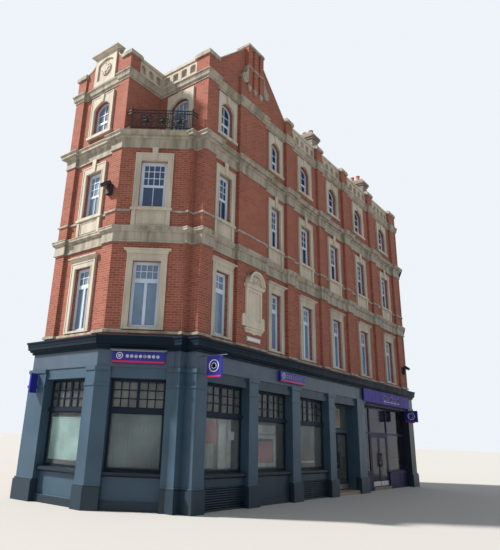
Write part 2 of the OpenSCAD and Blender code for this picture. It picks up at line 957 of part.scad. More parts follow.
module floors() {
  back = shop_set + frame_t;
  color([0.5, 0.5, 0.48]) {
    linear_extrude(floor_z)
      floor_outline(false);
    on_long() {
      translate([bank_left, 0, 0])
        cube([bank_right - bank_left, inner, floor_z]);
      translate([bank_left + base_out, -shop_out + 20, 0])
        cube([bank_right - bank_left - 2 * base_out, shop_out - 20, floor_z]);
      translate([side_door[0], 0, 0])
        cube([side_door[1] - side_door[0], inner, floor_z]);
      for (bay = concat(shop_bays, [[side_bay[0], side_door[0]], [side_door[1], side_bay[1]]]))
        translate([bay[0], back, 0])
          cube([bay[1] - bay[0], inner - back, floor_z]);
    }
    for (z = floor_levels)
      translate([0, 0, z - slab_t])
        linear_extrude(slab_t)
          floor_outline(z > main_z);
    balcony_deck();
  }
}

module floor_outline(top) {
  polygon(concat(
    [[inner, left_len - wall_t]],
    top
      ? [[inner, wall_t], [px + wall_t, wall_t], [px + wall_t, py + inner]]
      : [corner_in, fold_in, [px, py + inner]],
    [[rx - wall_t, py + inner], [rx - wall_t, left_len - wall_t]]
  ));
}

// Balcony floor inside its outer walls, with a kerb under the tower walls
module balcony_deck() {
  kerb = [[px, py + inner], [px + wall_t, py + inner], [px + wall_t, wall_t], [inner, wall_t]];
  translate([0, 0, deck_z - balcony_drop - slab_t])
    linear_extrude(slab_t)
      polygon(concat(kerb, [corner_in, fold_in]));
  translate([0, 0, deck_z - balcony_drop])
    linear_extrude(balcony_drop)
      polygon(concat(kerb, [corner_in, [inner * splay_len / splay_y, 0], [px, 0]]));
}

// Stone bands and cornices
module string_courses() {
  color(stone) {
    moulding(low_path, fit([[0, 0], [60, 0], [60, 75], [0, 110]], ledge_out, ledge_h), ledge_z);
    moulding(
      low_path,
      fit(
        concat(
          [[0, 0], [60, 0], [60, 50], [35, 62], [35, 330]],
          ovolo([50, 335], [95, 390]),
          [[120, 400], [120, 465], [135, 478], [135, 510], [0, 540]]
        ),
        band_out, band_h
      ),
      band_z
    );
    for (run = string_runs)
      moulding(run, fit([[0, 0], [45, 10], [45, 65], [0, 85]], string_out, string_h), string_z);
  }
}

module main_cornice() {
  color(stone)
    moulding(
      low_path,
      concat(
        fit(
          concat(
            [[0, 0], [45, 0], [45, 50], [30, 60], [30, 335]],
            ovolo([45, 340], [100, 410]),
            [[190, 415], [190, 480]],
            cavetto([200, 485], [236, 535]),
            [[236, 564]]
          ),
          main_out, main_h * 0.88
        ),
        [[blocking_out, main_h * 0.94], [blocking_out, main_h], [0, main_h]]
      ),
      main_z
    );
}

module upper_cornice() {
  color(stone)
    moulding(
      top_path,
      fit(
        concat(
          [[0, 0], [25, 0], [25, 60]],
          ovolo([35, 70], [80, 130]),
          [[80, 200]],
          cavetto([90, 205], [131, 280]),
          [[131, 314], [0, 360]]
        ),
        upper_out, upper_h
      ),
      upper_z
    );
}

// Stone window dressings
module first_surrounds() {
  top = first_head + first_lintel_h;
  color(stone)
    for (w = windows_low)
      at_window(w) {
        outer = w[2] + 2 * architrave;
        difference() {
          block(outer, -architrave_out, 0, ledge_z + ledge_h, top);
          block(w[2], -architrave_out - 5, 5, first_sill, first_head);
        }
        hood(
          outer,
          architrave_out,
          fit(
            concat(
              [[-15, -60], [-15, 6], [8, 8]],
              cavetto([12, 12], [85, 120], 5),
              [[105, 130], [105, 165], [0, 175]]
            ),
            hood_out, hood_h
          ),
          top
        );
      }
}

module keystone(z0, z1) {
  upright(-architrave_out - key_out, -architrave_out)
    polygon([[-key_w / 2, z0], [key_w / 2, z0], [key_w * 0.77, z1], [-key_w * 0.77, z1]]);
}

module second_surrounds() {
  apron = second_sill - sill_h;
  color(stone)
    for (w = windows_low)
      at_window(w) {
        outer = w[2] + 2 * architrave;
        difference() {
          block(outer, -architrave_out, 0, second_sill, second_head + second_lintel_h);
          block(w[2], -architrave_out - 5, 5, second_sill - 5, second_head);
        }
        keystone(second_head, main_z);
        block(outer + 2 * sill_out, -architrave_out - sill_out, 0, apron, second_sill);
        block(outer - 20, -architrave_out + 20, 0, band_z + band_h, apron);
        for (s = [-1, 1])
          translate([s * (outer / 2 - 70), 0, 0])
            block(120, -architrave_out - 15, 0, band_z + band_h, apron);
      }
}

module arched_surround(w, z0, sill) {
  outer = w + 2 * architrave;
  difference() {
    block(outer, -architrave_out, 0, z0, third_top);
    arched_block(w, -architrave_out - 5, 5, z0 - 5, third_spring, third_rise);
  }
  keystone(third_spring + third_rise, third_top);
  if (sill)
    block(outer + 2 * sill_out, -architrave_out - sill_out, 0, z0 - sill_h - 30, z0);
}

module third_surrounds() {
  color(stone) {
    for (w = windows_top)
      at_window(w)
        arched_surround(w[2], third_sill, true);
    on_notch()
      translate([balcony_mid, 0, 0])
        arched_surround(balcony_open, deck_z, false);
  }
}

// White window frames and the glass in their lights
module lights(w, y0, y1, z0, z1, rail) {
  block(w - 2 * frame_w, y0, y1, z0 + frame_w, rail);
  block(w - 2 * frame_w, y0, y1, rail + rail_w, z1 - frame_w);
}

module arched_lights(w, y0, y1, z0, rail) {
  block(w - 2 * frame_w, y0, y1, z0 + frame_w, rail);
  arched_block(w - 2 * frame_w, y0, y1, rail + rail_w, third_spring, third_rise - frame_w * 0.8);
}

module sash(w, z0, z1, rail, glass) {
  if (glass)
    lights(w, frame_back + 30, frame_back + 30 + glass_t, z0, z1, rail);
  else
    difference() {
      block(w, frame_back, frame_back + frame_t, z0, z1);
      lights(w, frame_back - 5, frame_back + frame_t + 5, z0, z1, rail);
    }
}

module arched_sash(w, z0, rail, glass) {
  if (glass)
    arched_lights(w, frame_back + 30, frame_back + 30 + glass_t, z0, rail);
  else
    difference() {
      arched_block(w, frame_back, frame_back + frame_t, z0, third_spring, third_rise);
      arched_lights(w, frame_back - 5, frame_back + frame_t + 5, z0, rail);
    }
}

module all_sashes(glass) {
  for (w = windows_low)
    at_window(w) {
      sash(w[2], first_sill, first_head, first_sill + first_rail, glass);
      sash(w[2], second_sill, second_head, second_sill + second_rail, glass);
    }
  for (w = windows_top)
    at_window(w)
      arched_sash(w[2], third_sill, third_sill + third_rail, glass);
  on_notch()
    translate([balcony_mid, 0, 0])
      arched_sash(balcony_open, deck_z + door_step, third_sill + third_rail, glass);
  for (i = [1:bays - 1])
    at_rear(i)
      for (row = rear_rows)
        sash(bay_open[i], row[0], row[1], (row[0] + row[1]) / 2, glass);
}

module window_frames() {
  color([0.85, 0.87, 0.9])
    all_sashes(false);
}

module window_glass() {
  color(clear)
    all_sashes(true);
}

// Painted shopfront
module shop_pilasters() {
  color(paint) {
    for (run = pilaster_runs)
      pilaster_pieces(run, 0);
    for (i = [0:len(shop_left) - 1])
      on_long()
        pilaster_pieces([[shop_left[i], 0], [shop_right[i], 0]], base_out);
  }
}

// Shaft, base, necking and capital along a run; ends gives how far they return at each end
module pilaster_pieces(run, ends) {
  last = len(run) - 1;
  d0 = unit(run[1] - run[0]);
  d1 = unit(run[last] - run[last - 1]);
  back = ends > 0 ? board_out : seam;
  wide = [
    for (i = [0:last])
      i == 0 ? run[0] - ends * d0 : i == last ? run[last] + ends * d1 : run[i]
  ];
  course(run, 0, fascia_z, shop_out, seam);
  course(wide, 0, base_h, shop_out + base_out, back);
  course(wide, base_h, base_out, shop_out + base_out / 2, back);
  course(wide, fascia_z - capital_h, capital_h, shop_out + capital_out, back);
  course(wide, fascia_z - necking_drop, necking_h, shop_out + capital_out - 5, back);
}

// Lights of a shop window, two above the transom and one below it
module shop_lights(a, b, y0, y1, z0, z1) {
  mid = (a + b) / 2;
  for (e = [[a + shop_frame_w, mid - shop_frame_w / 2], [mid + shop_frame_w / 2, b - shop_frame_w]])
    translate([e[0], y0, transom_z + transom_h])
      cube([e[1] - e[0], y1 - y0, z1 - shop_frame_w - transom_z - transom_h]);
  translate([a + shop_frame_w, y0, z0 + shop_frame_w])
    cube([b - a - 2 * shop_frame_w, y1 - y0, transom_z - z0 - shop_frame_w]);
}

module shop_window(a, b, glass) {
  if (glass)
    shop_lights(a, b, shop_set + 30, shop_set + 30 + glass_t, shop_sill, shop_head);
  else {
    difference() {
      translate([a, shop_set, shop_sill])
        cube([b - a, frame_t, shop_head - shop_sill]);
      shop_lights(a, b, shop_set - 5, shop_set + frame_t + 5, shop_sill, shop_head);
    }
    translate([a, shop_set - riser_out, transom_z + 30])
      cube([b - a, riser_out, transom_h - 60]);
  }
}

module shop_windows(glass) {
  on_long()
    for (bay = shop_bays)
      shop_window(bay[0], bay[1], glass);
  on_splay()
    shop_window(splay_run, splay_right, glass);
  on_left()
    shop_window(left_pilaster_right, left_len - corner_run, glass);
}

module shop_frames() {
  color(joinery)
    shop_windows(false);
}

module pane(a, b, y, z0, z1) {
  translate([a, y + 30, z0])
    cube([b - a, glass_t, z1 - z0]);
}

module shop_glass() {
  w = shop_frame_w;
  color(clear) {
    shop_windows(true);
    on_long() {
      pane(bank_door[0], bank_door[1], porch_y, floor_z + door_h + door_head, shop_head - w);
      for (bay = [[side_bay[0], side_door[0]], [side_door[1], side_bay[1]]]) {
        pane(bay[0] + w, bay[1] - w, shop_set, side_riser + w, side_transom);
        pane(bay[0] + w, bay[1] - w, shop_set, side_transom + w, side_top - w);
      }
      pane(side_opening[0], side_opening[1], shop_set, side_transom + w, side_top - w);
    }
  }
}

module riser(a, b, grille) {
  inside = b - a - 2 * grille_border;
  difference() {
    translate([a, -riser_out, 0])
      cube([b - a, shop_set + frame_t + riser_out, shop_sill - shop_sill_h]);
    if (grille)
      translate([a + grille_border, -riser_out - 5, grille_border])
        cube([inside, riser_out + 5, grille_h]);
  }
  if (grille)
    for (i = [0:louvres - 1])
      translate([a + grille_border, 5 - riser_out, grille_border + (i + 0.5) * grille_h / louvres])
        rotate([-35, 0, 0])
          cube([inside, riser_out + 2, 12]);
  else
    translate([a, -plinth_out, 0])
      cube([b - a, plinth_out - riser_out, plinth_h]);
}

module shop_panels() {
  color(paint) {
    on_long() {
      for (i = [0:len(shop_bays) - 1])
        riser(shop_bays[i][0], shop_bays[i][1], i != 1);
      for (bay = shop_bays) {
        sill_board(bay[0], bay[1]);
        head_board(bay[0], bay[1], shop_set + frame_t);
      }
      head_board(bank_left, bank_right, shop_set + frame_t);
    }
    on_splay()
      wall_panel(splay_run, splay_right);
    on_left()
      wall_panel(left_pilaster_right, left_len - corner_run);
  }
}

// Plinth, sill and head board on a face whose wall closes the window foot
module wall_panel(a, b) {
  translate([a + seam, -plinth_out, 0])
    cube([b - a - 2 * seam, plinth_out - seam, plinth_h]);
  sill_board(a, b);
  head_board(a, b, -seam);
}

module sill_board(a, b) {
  translate([a + seam, 0, shop_sill - shop_sill_h])
    rotate([90, 0, 90])
      linear_extrude(b - a - 2 * seam)
        polygon([
          [shop_set + frame_t, 0],
          [shop_set + frame_t, shop_sill_h],
          [-riser_out, shop_sill_h],
          [-board_out, shop_sill_h - 25],
          [-board_out, 45],
          [35 - board_out, 30],
          [-riser_out, 0]
        ]);
}

module head_board(a, b, back) {
  translate([a + seam, -board_out, shop_head])
    cube([b - a - 2 * seam, back + board_out, fascia_z - seam - shop_head]);
}

module fascia() {
  color(paint)
    course(shop_path, fascia_z, fascia_h, fascia_out);
}

module shop_cornice() {
  color(paint)
    moulding(
      shop_path,
      fit(
        concat(
          [[0, 0], [215, 0], [215, 60]],
          ovolo([225, 65], [280, 130]),
          [[325, 140], [325, 230]],
          cavetto([335, 235], [365, 330]),
          [[370, 335], [370, 380], [0, 470]]
        ),
        shop_tip, shop_cornice_h
      ),
      shop_cornice_z
    );
}

// Bank entrance in its recess
module entrance_frame() {
  wide = bank_right - bank_left;
  color(paint)
    on_long() {
      difference() {
        translate([bank_left, porch_y, floor_z])
          cube([wide, frame_t, shop_head - floor_z]);
        translate([bank_door[0], porch_y - 5, floor_z - 5])
          cube([wide - 2 * jamb_w, frame_t + 10, door_h + 5]);
        translate([bank_door[0], porch_y - 5, floor_z + door_h + door_head])
          cube([wide - 2 * jamb_w, frame_t + 10, shop_head - floor_z - door_h - door_head - shop_frame_w]);
      }
      for (x = [bank_left, bank_right - lining_t])
        translate([x, 0, floor_z])
          cube([lining_t, porch_y, shop_head - floor_z]);
      translate([bank_left, shop_set + frame_t, shop_head])
        cube([wide, porch_y - shop_set, lining_t]);
    }
}

// Glazed door leaf, or its glass, hung at one side of a doorway; hand 1 hangs it at the right
module leaf(door, y, w, h, hand, glass) {
  on_long()
    translate([hand == 0 ? door[0] + door_gap : door[1] - door_gap, y, floor_z + door_gap])
      mirror([hand, 0, 0])
        if (glass)
          translate([stile, (leaf_t - glass_t) / 2, kick])
            cube([w - 2 * stile, glass_t, h - kick - stile]);
        else {
          difference() {
            cube([w, leaf_t, h]);
            translate([stile, -5, kick])
              cube([w - 2 * stile, leaf_t + 10, h - kick - stile]);
          }
          translate([w - stile / 2 - 15, -70, 800])
            cylinder(h = pull_h, d = pull_d);
          for (z = [840, 730 + pull_h])
            translate([w - stile / 2 - 25, -60, z])
              cube([20, 60, 30]);
        }
}

module bank_leaf(hand, glass) {
  leaf(bank_door, porch_y, bank_leaf_w, door_h - 2 * door_gap, hand, glass);
}

module side_leaf(hand, glass) {
  leaf(side_opening, shop_set, side_leaf_w, side_door_h - 2 * door_gap, hand, glass);
}

module bank_door_left() {
  color(joinery)
    bank_leaf(0, false);
}

module bank_door_right() {
  color(joinery)
    bank_leaf(1, false);
}

module bank_glass_left() {
  color(clear)
    bank_leaf(0, true);
}

module bank_glass_right() {
  color(clear)
    bank_leaf(1, true);
}

module side_door_left() {
  color(side_paint)
    side_leaf(0, false);
}

module side_door_right() {
  color(side_paint)
    side_leaf(1, false);
}

module side_glass_left() {
  color(clear)
    side_leaf(0, true);
}

module side_glass_right() {
  color(clear)
    side_leaf(1, true);
}

// Second shop window with its fixed lights, door frame and risers
module side_light(a, b) {
  w = shop_frame_w;
  difference() {
    translate([a, shop_set, side_riser])
      cube([b - a, frame_t, side_top - side_riser]);
    translate([a + w, shop_set - 5, side_riser + w])
      cube([b - a - 2 * w, frame_t + 10, side_transom - side_riser - w]);
    translate([a + w, shop_set - 5, side_transom + w])
      cube([b - a - 2 * w, frame_t + 10, side_top - side_transom - 2 * w]);
  }
  translate([a, shop_set - 60, 0])
    cube([b - a, 60 + frame_t, side_riser]);
  translate([a, shop_set - 100, side_riser - 50])
    cube([b - a, 40, 50]);
}

module side_shop_front() {
  door_w = side_opening[1] - side_opening[0];
  color(side_paint)
    on_long() {
      side_light(side_bay[0], side_door[0]);
      side_light(side_door[1], side_bay[1]);
      difference() {
        translate([side_door[0], shop_set, floor_z])
          cube([side_door[1] - side_door[0], frame_t, side_top - floor_z]);
        translate([side_opening[0], shop_set - 5, floor_z - 5])
          cube([door_w, frame_t + 10, side_door_h + 5]);
        translate([side_opening[0], shop_set - 5, side_transom + shop_frame_w])
          cube([door_w, frame_t + 10, side_top - side_transom - 2 * shop_frame_w]);
      }
      translate([side_bay[0], -board_out, side_top])
        cube([side_bay[1] - side_bay[0], shop_set + frame_t + board_out, fascia_z - side_top]);
    }
}

// Signs without lettering
module side_shop_board() {
  color([0.4, 0.26, 0.58])
    on_long()
      translate([side_bay[0] - board_laps[0], -shop_out - capital_out - seam - side_board_t, side_board_z])
        cube([side_bay[1] - side_bay[0] + board_laps[0] + board_laps[1], side_board_t, side_board_h]);
}

module face_sign(a, w) {
  translate([a, -shop_out - sign_t, sign_z])
    cube([w, shop_out + sign_t - fascia_out - seam, sign_h]);
}

module sign_panels() {
  color([0.12, 0.13, 0.5]) {
    on_splay()
      face_sign(splay_sign_at, splay_sign_w);
    on_long() {
      face_sign(long_sign_at, long_sign_w);
      translate([blade_at - sign_t / 2, blade_tip - blade_reach, blade_z])
        cube([sign_t, blade_w, blade_h]);
      translate([end_blade_at - sign_t / 2, -shop_out - end_blade_reach, end_blade_z])
        cube([sign_t, end_blade_reach - 50, end_blade_h]);
    }
    translate([-left_blade_reach, left_len - 290, end_blade_z])
      cube([left_blade_reach - shop_out - 30, sign_t, end_blade_h + 40]);
  }
}

module lamp_brackets() {
  t = bracket_t;
  color([0.35, 0.38, 0.42]) {
    on_splay()
      translate([splay_sign_at - 60, -shop_out - sign_t - trough_out, sign_z + sign_h])
        cube([splay_sign_w + 120, sign_t + trough_out, 30]);
    on_long() {
      translate([blade_at - t / 2, -blade_reach, blade_z + blade_h])
        cube([t, blade_reach - fascia_out, t]);
      translate([end_blade_at - t / 2, -shop_out - end_blade_reach, end_blade_z + end_blade_h])
        cube([t, shop_out + end_blade_reach - board_out, t]);
      translate([long_len - end_margin - 250, -shop_out - 120, end_blade_z])
        cube([160, 120, 120]);
      translate([long_len - lamp_inset, 0, lamp_low])
        wall_lamp();
    }
    translate([-left_blade_reach, left_len - 290 + (sign_t - t) / 2, end_blade_z + end_blade_h + 40])
      cube([left_blade_reach - shop_out, t, t]);
    translate([0, lamp_side, lamp_high])
      rotate([0, 0, -90])
        wall_lamp();
  }
}

// Floodlight on a short arm
module wall_lamp() {
  translate([-30, -40, -120])
    cube([60, 40, 240]);
  translate([0, -20, 0])
    rotate([70, 0, 0])
      cylinder(h = lamp_arm, d = 30);
  translate([0, -20 - lamp_arm * sin(70), lamp_arm * cos(70)])
    rotate([35, 0, 0])
      translate([-110, -60, -40])
        cube([220, 180, 80]);
}

// Parapets and roof
module chimney_void(x) {
  translate([x - chimney_w / 2, chimney_front, upper_z])
    cube([chimney_w, chimney_d, 4000]);
}

module roof_deck() {
  color([0.45, 0.45, 0.46])
    difference() {
      translate([0, 0, upper_z + deck_rise])
        linear_extrude(deck_t)
          floor_outline(true);
      for (x = chimney_x)
        chimney_void(x);
    }
}

// Hollow slate roof with hipped ends behind the parapets
module slate_roof() {
  color([0.32, 0.35, 0.4])
    difference() {
      roof_solid(0);
      translate([0, 0, -20])
        roof_solid(slate_t);
      for (x = chimney_x)
        chimney_void(x);
    }
}

module roof_solid(inset) {
  d = roof_y1 - roof_y0;
  half = d / 2 - inset;
  rise = (roof_rise / (d / 2)) * half;
  long = roof_x1 - roof_x0 - 2 * inset;
  intersection() {
    translate([roof_x0 + inset, roof_y0 + inset, deck_top])
      rotate([90, 0, 90])
        linear_extrude(long)
          polygon([[0, 0], [2 * half, 0], [half, rise]]);
    translate([roof_x0 + inset, roof_y1 - inset, deck_top])
      rotate([90, 0, 0])
        linear_extrude(2 * half)
          polygon([[0, 0], [long, 0], [long - half, rise], [half, rise]]);
  }
}

// Points along the scooped top of a wing, from the carved panel down to a pier
function scoop(far, near, t) = [
  for (k = [0:8])
    let(a = k * 11.25)
    [near + (far - near - sign(far - near) * t) * cos(a), wing_h - (wing_h - wing_low - t) * sin(a)]
];

module wing(far, near, x0, x1, points) {
  translate([x0, 0, upper_top])
    rotate([90, 0, 90])
      linear_extrude(x1 - x0)
        polygon(points);
}

wings = [[crest_ends[0], near_pier + seam], [crest_ends[1], left_len - far_pier - seam]];

module parapet_piers() {
  deep = pier_step + parapet_t;
  color(brick) {
    translate([0, 0, upper_top]) {
      cube([near_pier, near_pier, pier_h]);
      translate([0, left_len - far_pier, 0])
        cube([parapet_t, far_pier, pier_h]);
      translate([px, py, 0])
        cube([gable_left, p_pier, pier_h]);
      translate([parapet_t + seam, left_len - parapet_t, 0])
        cube([rx - 2 * parapet_t - 2 * seam, parapet_t, rear_parapet_h]);
      translate([rx - parapet_t, py + deep + seam, 0])
        cube([parapet_t, left_len - py - deep - seam, pier_h - 120]);
      on_long()
        for (i = [1:bays - 1])
          translate([bay_right[i], 0, 0])
            cube([pier_widths[i + 1], deep, pier_h]);
    }
    for (w = wings)
      wing(w[0], w[1], 60, crest_t - 20, concat([[w[0], 0]], scoop(w[0], w[1], 0), [[w[1], 0]]));
  }
}

// Stone cap in two steps; over gives its overhang on the low x, high x, low y and high y sides
module cap_block(x, y, w, d, over) {
  low = cap_h - 60;
  for (s = [[1, 0, low], [0.5, low, cap_h]])
    translate([x - s[0] * over[0], y - s[0] * over[2], upper_top + pier_h + s[1]])
      cube([w + s[0] * (over[0] + over[1]), d + s[0] * (over[2] + over[3]), s[2] - s[1]]);
}

module parapet_caps() {
  c = cap_out;
  color(stone) {
    cap_block(0, 0, near_pier, near_pier, [c, c, c, 0]);
    cap_block(0, left_len - far_pier, parapet_t, far_pier, [c, c, 0, c]);
    cap_block(px, py, gable_left, p_pier, [c, 0, c, c]);
    for (i = [1:bays - 1])
      cap_block(
        px + bay_right[i], py, pier_widths[i + 1], pier_step + parapet_t,
        [i == 1 ? 0 : c, i == bays - 1 ? 0 : c, c, c]
      );
    translate([parapet_t + seam, left_len - parapet_t - 40, upper_top + rear_parapet_h])
      cube([rx - 2 * parapet_t - 2 * seam, parapet_t + 80, 90]);
    for (w = wings)
      wing(w[0], w[1], 40, crest_t, concat(scoop(w[0], w[1], 0), flip(scoop(w[0], w[1], coping_t))));
  }
}

// Stone parapet with a row of sunk arched panels; lo and hi stop its coping short of the piers
module sunk_parapet(w, n, lo, hi) {
  pitch = w / n;
  rise = round(pitch * 0.0886);
  difference() {
    translate([0, 30, 0])
      cube([w, parapet_t - 100, pier_h]);
    for (i = [0:n - 1])
      translate([(i + 0.5) * pitch, 0, 0])
        arched_block(7 * rise, 20, 30 + panel_d, 190, pier_h - 150, rise);
  }
  cube([w, parapet_t - 40, 130]);
  translate([lo, -coping_lip, pier_h])
    cube([w - lo - hi, parapet_t - 20, parapet_h - pier_h]);
}

module balustrades() {
  clear = cap_out + seam;
  color(stone)
    translate([0, 0, upper_top]) {
      translate([near_pier, 0, 0])
        sunk_parapet(px - near_pier - seam, tower_panels[0], clear, 0);
      translate([px, 0, 0])
        cube([parapet_t - 20, parapet_t - 20, parapet_h]);
      translate([px, -seam, 0])
        rotate([0, 0, -90])
          sunk_parapet(-py - p_pier - seam, tower_panels[1], coping_lip + seam, clear);
      for (i = [2:bays - 1])
        translate([px + bay_left[i], py + pier_step, 0])
          sunk_parapet(bay_widths[i], round(bay_widths[i] / panel_pitch), clear, clear);
    }
}

// Carved panel with a moulded coping on the left face
module tower_crest() {
  face = crest_h - crest_cap_h;
  color(stone)
    on_left()
      translate([left_mid, 0, upper_top]) {
        difference() {
          block(crest_w, 0, crest_t, 0, face);
          arched_block(crest_w - 320, -5, 55, 200, face - 330, 160);
        }
        translate([0, 60, face / 2 + 20])
          rotate([90, 0, 0]) {
            cylinder(h = 50, r = 250, $fn = 48);
            cylinder(h = 75, r = 150, $fn = 48);
            for (k = [0:7])
              translate([200 * cos(k * 45), 200 * sin(k * 45), 0])
                cylinder(h = 70, r = 34, $fn = 16);
          }
        translate([0, crest_t, 0])
          hood(
            crest_w, crest_t,
            fit(
              concat(
                [[-15, -60], [-15, 5], [30, 8]],
                ovolo([35, 12], [90, 70]),
                [[110, 80], [140, 85], [140, 125], [20, 160]]
              ),
              crest_over, crest_cap_h
            ),
            face
          );
      }
}

// Brick gable with its ribbed stack
function slope_at(s) = gable_z - abs(s - gable_mid) * gable_fall;
function rib_at(i) = stack_left + i * (stack_w - rib_w) / (ribs - 1);

module gable() {
  color(brick)
    on_long() {
      upright(pier_step, pier_step + parapet_t)
        polygon([
          [gable_left, upper_top],
          for (s = [gable_left, stack_left, stack_right, gable_right]) [s, slope_at(s)],
          [gable_right, upper_top]
        ]);
      translate([bay_right[0], 0, upper_top])
        cube([bay_left[1] - bay_right[0], pier_step, shoulder_h]);
      translate([stack_left, 0, upper_top])
        cube([stack_w, stack_d, stack_h]);
      for (i = [0:ribs - 1])
        translate([rib_at(i), -rib_out, rib_z])
          cube([rib_w, rib_out, stack_z - rib_z]);
    }
}

module slope_slab(s0, s1) {
  upright(pier_step - coping_out, pier_step + parapet_t + coping_out)
    polygon([
      [s0, slope_at(s0)],
      [s1, slope_at(s1)],
      [s1, slope_at(s1) + coping_t],
      [s0, slope_at(s0) + coping_t]
    ]);
}

// Scroll beside the stack, with a swept tail above a volute and a spiral cut in its face
module scroll() {
  r = scroll_w / 2;
  tail = r * 0.28;
  neck = r * [1 + cos(60), sin(60)];
  spiral = [for (t = [60:30:570]) (r * 0.85 - 0.0011 * r * (t - 60)) * [cos(t), sin(t)]];
  difference() {
    upright(-scroll_out, pier_step)
      polygon(concat(
        [[0, 0], [0, scroll_h]],
        [for (t = [0:11.25:80]) neck + [(tail - neck[0]) * cos(t), (scroll_h - neck[1]) * (1 - sin(t))]],
        [for (t = [60:-10:-170]) r * [1 + cos(t), sin(t)]]
      ));
    translate([r, 0, 0])
      upright(-scroll_out - 5, 20 - scroll_out)
        polygon(concat(spiral, flip([for (q = spiral) q * (1 - 22 / norm(q))])));
    translate([-5, 0, -scroll_w])
      cube([scroll_w + 10, pier_step + 5, scroll_w]);
  }
}

module gable_stonework() {
  pendant = [[1.5, 6], [3, 15], [3, 21], [4, 23], [4, 26]];
  string_path = concat(
    [[stack_left, pier_step]],
    [for (i = [0:ribs - 1])
      each [
        if (i > 0) [rib_at(i), 0],
        [rib_at(i), -rib_out],
        [rib_at(i) + rib_w, -rib_out],
        if (i < ribs - 1) [rib_at(i) + rib_w, 0]
      ]
    ],
    [[stack_right, pier_step]]
  );
  color(stone)
    on_long() {
      slope_slab(gable_left, stack_left);
      slope_slab(stack_right, gable_right);
      translate([stack_left - 15, -rib_out - 40, stack_z])
        cube([stack_w + 30, stack_d + rib_out + 55, stack_cap_h]);
      moulding(string_path, [[0, 0], [40, 12], [40, 50], [0, 65]], upper_top + stack_string_h);
      translate([stack_left, 0, upper_top + shoulder_h])
        mirror([1, 0, 0])
          scroll();
      translate([stack_right, 0, upper_top + shoulder_h])
        scroll();
      for (i = [0:ribs - 1])
        translate([rib_at(i) + rib_w / 2, 0, rib_z - pendant_h])
          upright(-rib_out, 0)
            polygon(fit(
              concat(pendant, flip([for (q = pendant) [-q[0], q[1]]]), [[0, 0]]),
              rib_w / 2, pendant_h
            ));
    }
}

// Chimneys on the roof
module hipped(w, d, out, top_out, h) {
  intersection() {
    translate([0, d + out, 0])
      rotate([90, 0, 0])
        linear_extrude(d + 2 * out)
          polygon([[-w / 2 - out, 0], [w / 2 + out, 0], [w / 2 + top_out, h], [-w / 2 - top_out, h]]);
    translate([-w / 2 - out, 0, 0])
      rotate([90, 0, 90])
        linear_extrude(w + 2 * out)
          polygon([[-out, 0], [d + out, 0], [d + top_out, h], [-top_out, h]]);
  }
}

module chimneys() {
  w = chimney_w;
  d = chimney_d;
  color([0.7, 0.6, 0.5])
    for (x = chimney_x)
      translate([x, chimney_front, 0]) {
        translate([-w / 2, 0, deck_top - deck_t])
          cube([w, d, chimney_h + deck_t - chimney_cap_h]);
        for (s = [[50, 0, 0.22], [100, 0.22, 0.51]])
          translate([-w / 2 - s[0], -s[0], chimney_z - chimney_cap_h * (1 - s[1])])
            cube([w + 2 * s[0], d + 2 * s[0], chimney_cap_h * (s[2] - s[1])]);
        translate([0, 0, chimney_z - chimney_cap_h * 0.49])
          hipped(w, d, 70, -60, chimney_cap_h * 0.49);
      }
}

module chimney_pots() {
  color([0.75, 0.4, 0.28])
    for (i = [0:len(chimney_x) - 1])
      for (k = [0:pot_count[i] - 1])
        translate([
          chimney_x[i],
          chimney_front + chimney_d / 2 + (k - (pot_count[i] - 1) / 2) * pot_pitch,
          chimney_z
        ])
          rotate_extrude($fn = 48)
            polygon(fit(
              [[85, 0], [125, 0], [125, 40], [105, 60], [95, 250], [125, 270], [125, 310], [85, 310]],
              pot_d / 2, pot_h[i]
            ));
}

// Balcony railing along the splay, with short returns to the walls at both ends
module balcony_railing() {
  rails = [80, rail_h - 160, rail_h - 50];
  color([0.06, 0.06, 0.07]) {
    on_splay() {
      n = round(rail_len / baluster_gap);
      for (i = [1:n - 1])
        translate([rail_left + i * rail_len / n, -rail_out, deck_z + 90])
          cylinder(h = rail_h - 130, d = baluster_d);
      for (z = rails)
        translate([rail_left, -rail_out - 15, deck_z + z])
          cube([rail_len, 30, 22]);
      for (x = [rail_left, rail_left + rail_len])
        translate([x, -rail_out, deck_z]) {
          translate([-post_w / 2, -post_w / 2, 0])
            cube([post_w, post_w, rail_h]);
          translate([0, 0, rail_h + 25])
            sphere(d = post_w * 1.5);
        }
    }
    for (z = rails) {
      translate([rail_ends[0][0] - 10, rail_ends[0][1], deck_z + z])
        cube([20, -rail_ends[0][1] - seam, 22]);
      translate([rail_ends[1][0], rail_ends[1][1] - 10, deck_z + z])
        cube([px - seam - rail_ends[1][0], 20, 22]);
    }
  }
}

// Arched stone plaque between the first two bays
module wall_plaque() {
  color(stone)
    on_long()
      translate([plaque_mid, 0, 0]) {
        difference() {
          block(plaque_w, -plaque_out, 0, plaque_z, plaque_top);
          block(plaque_w - 190, -plaque_out - 5, -20, plaque_z + 220, plaque_top - 90);
        }
        for (s = [-1, 1])
          translate([s * (plaque_w + ear_w) / 2, 0, 0])
            arched_block(ear_w, -40, 0, plaque_z, plaque_z + ear_h - ear_w * 0.45, ear_w * 0.45);
        hood(
          plaque_w, 30,
          fit([[0, 0], [8, 60], [50, 110], [50, 150], [30, 190]], 50, plaque_base),
          plaque_z - plaque_base
        );
        translate([0, 0, plaque_z - plaque_base])
          upright(-50, 0)
            polygon([[-150, 0], [150, 0], [70, -28], [0, -45], [-70, -28]]);
        hood(
          plaque_w, plaque_out,
          fit(
            concat([[-15, -60], [-15, 5]], ovolo([20, 8], [70, 80]), [[90, 90], [90, 125], [60, 140]]),
            90, plaque_mould
          ),
          plaque_top
        );
        translate([0, 0, plaque_spring])
          plaque_shell();
        translate([38, 0, ledge_z + ledge_h + plate_rise])
          block(plate_w, -20, 0, 0, plate_h);
      }
}

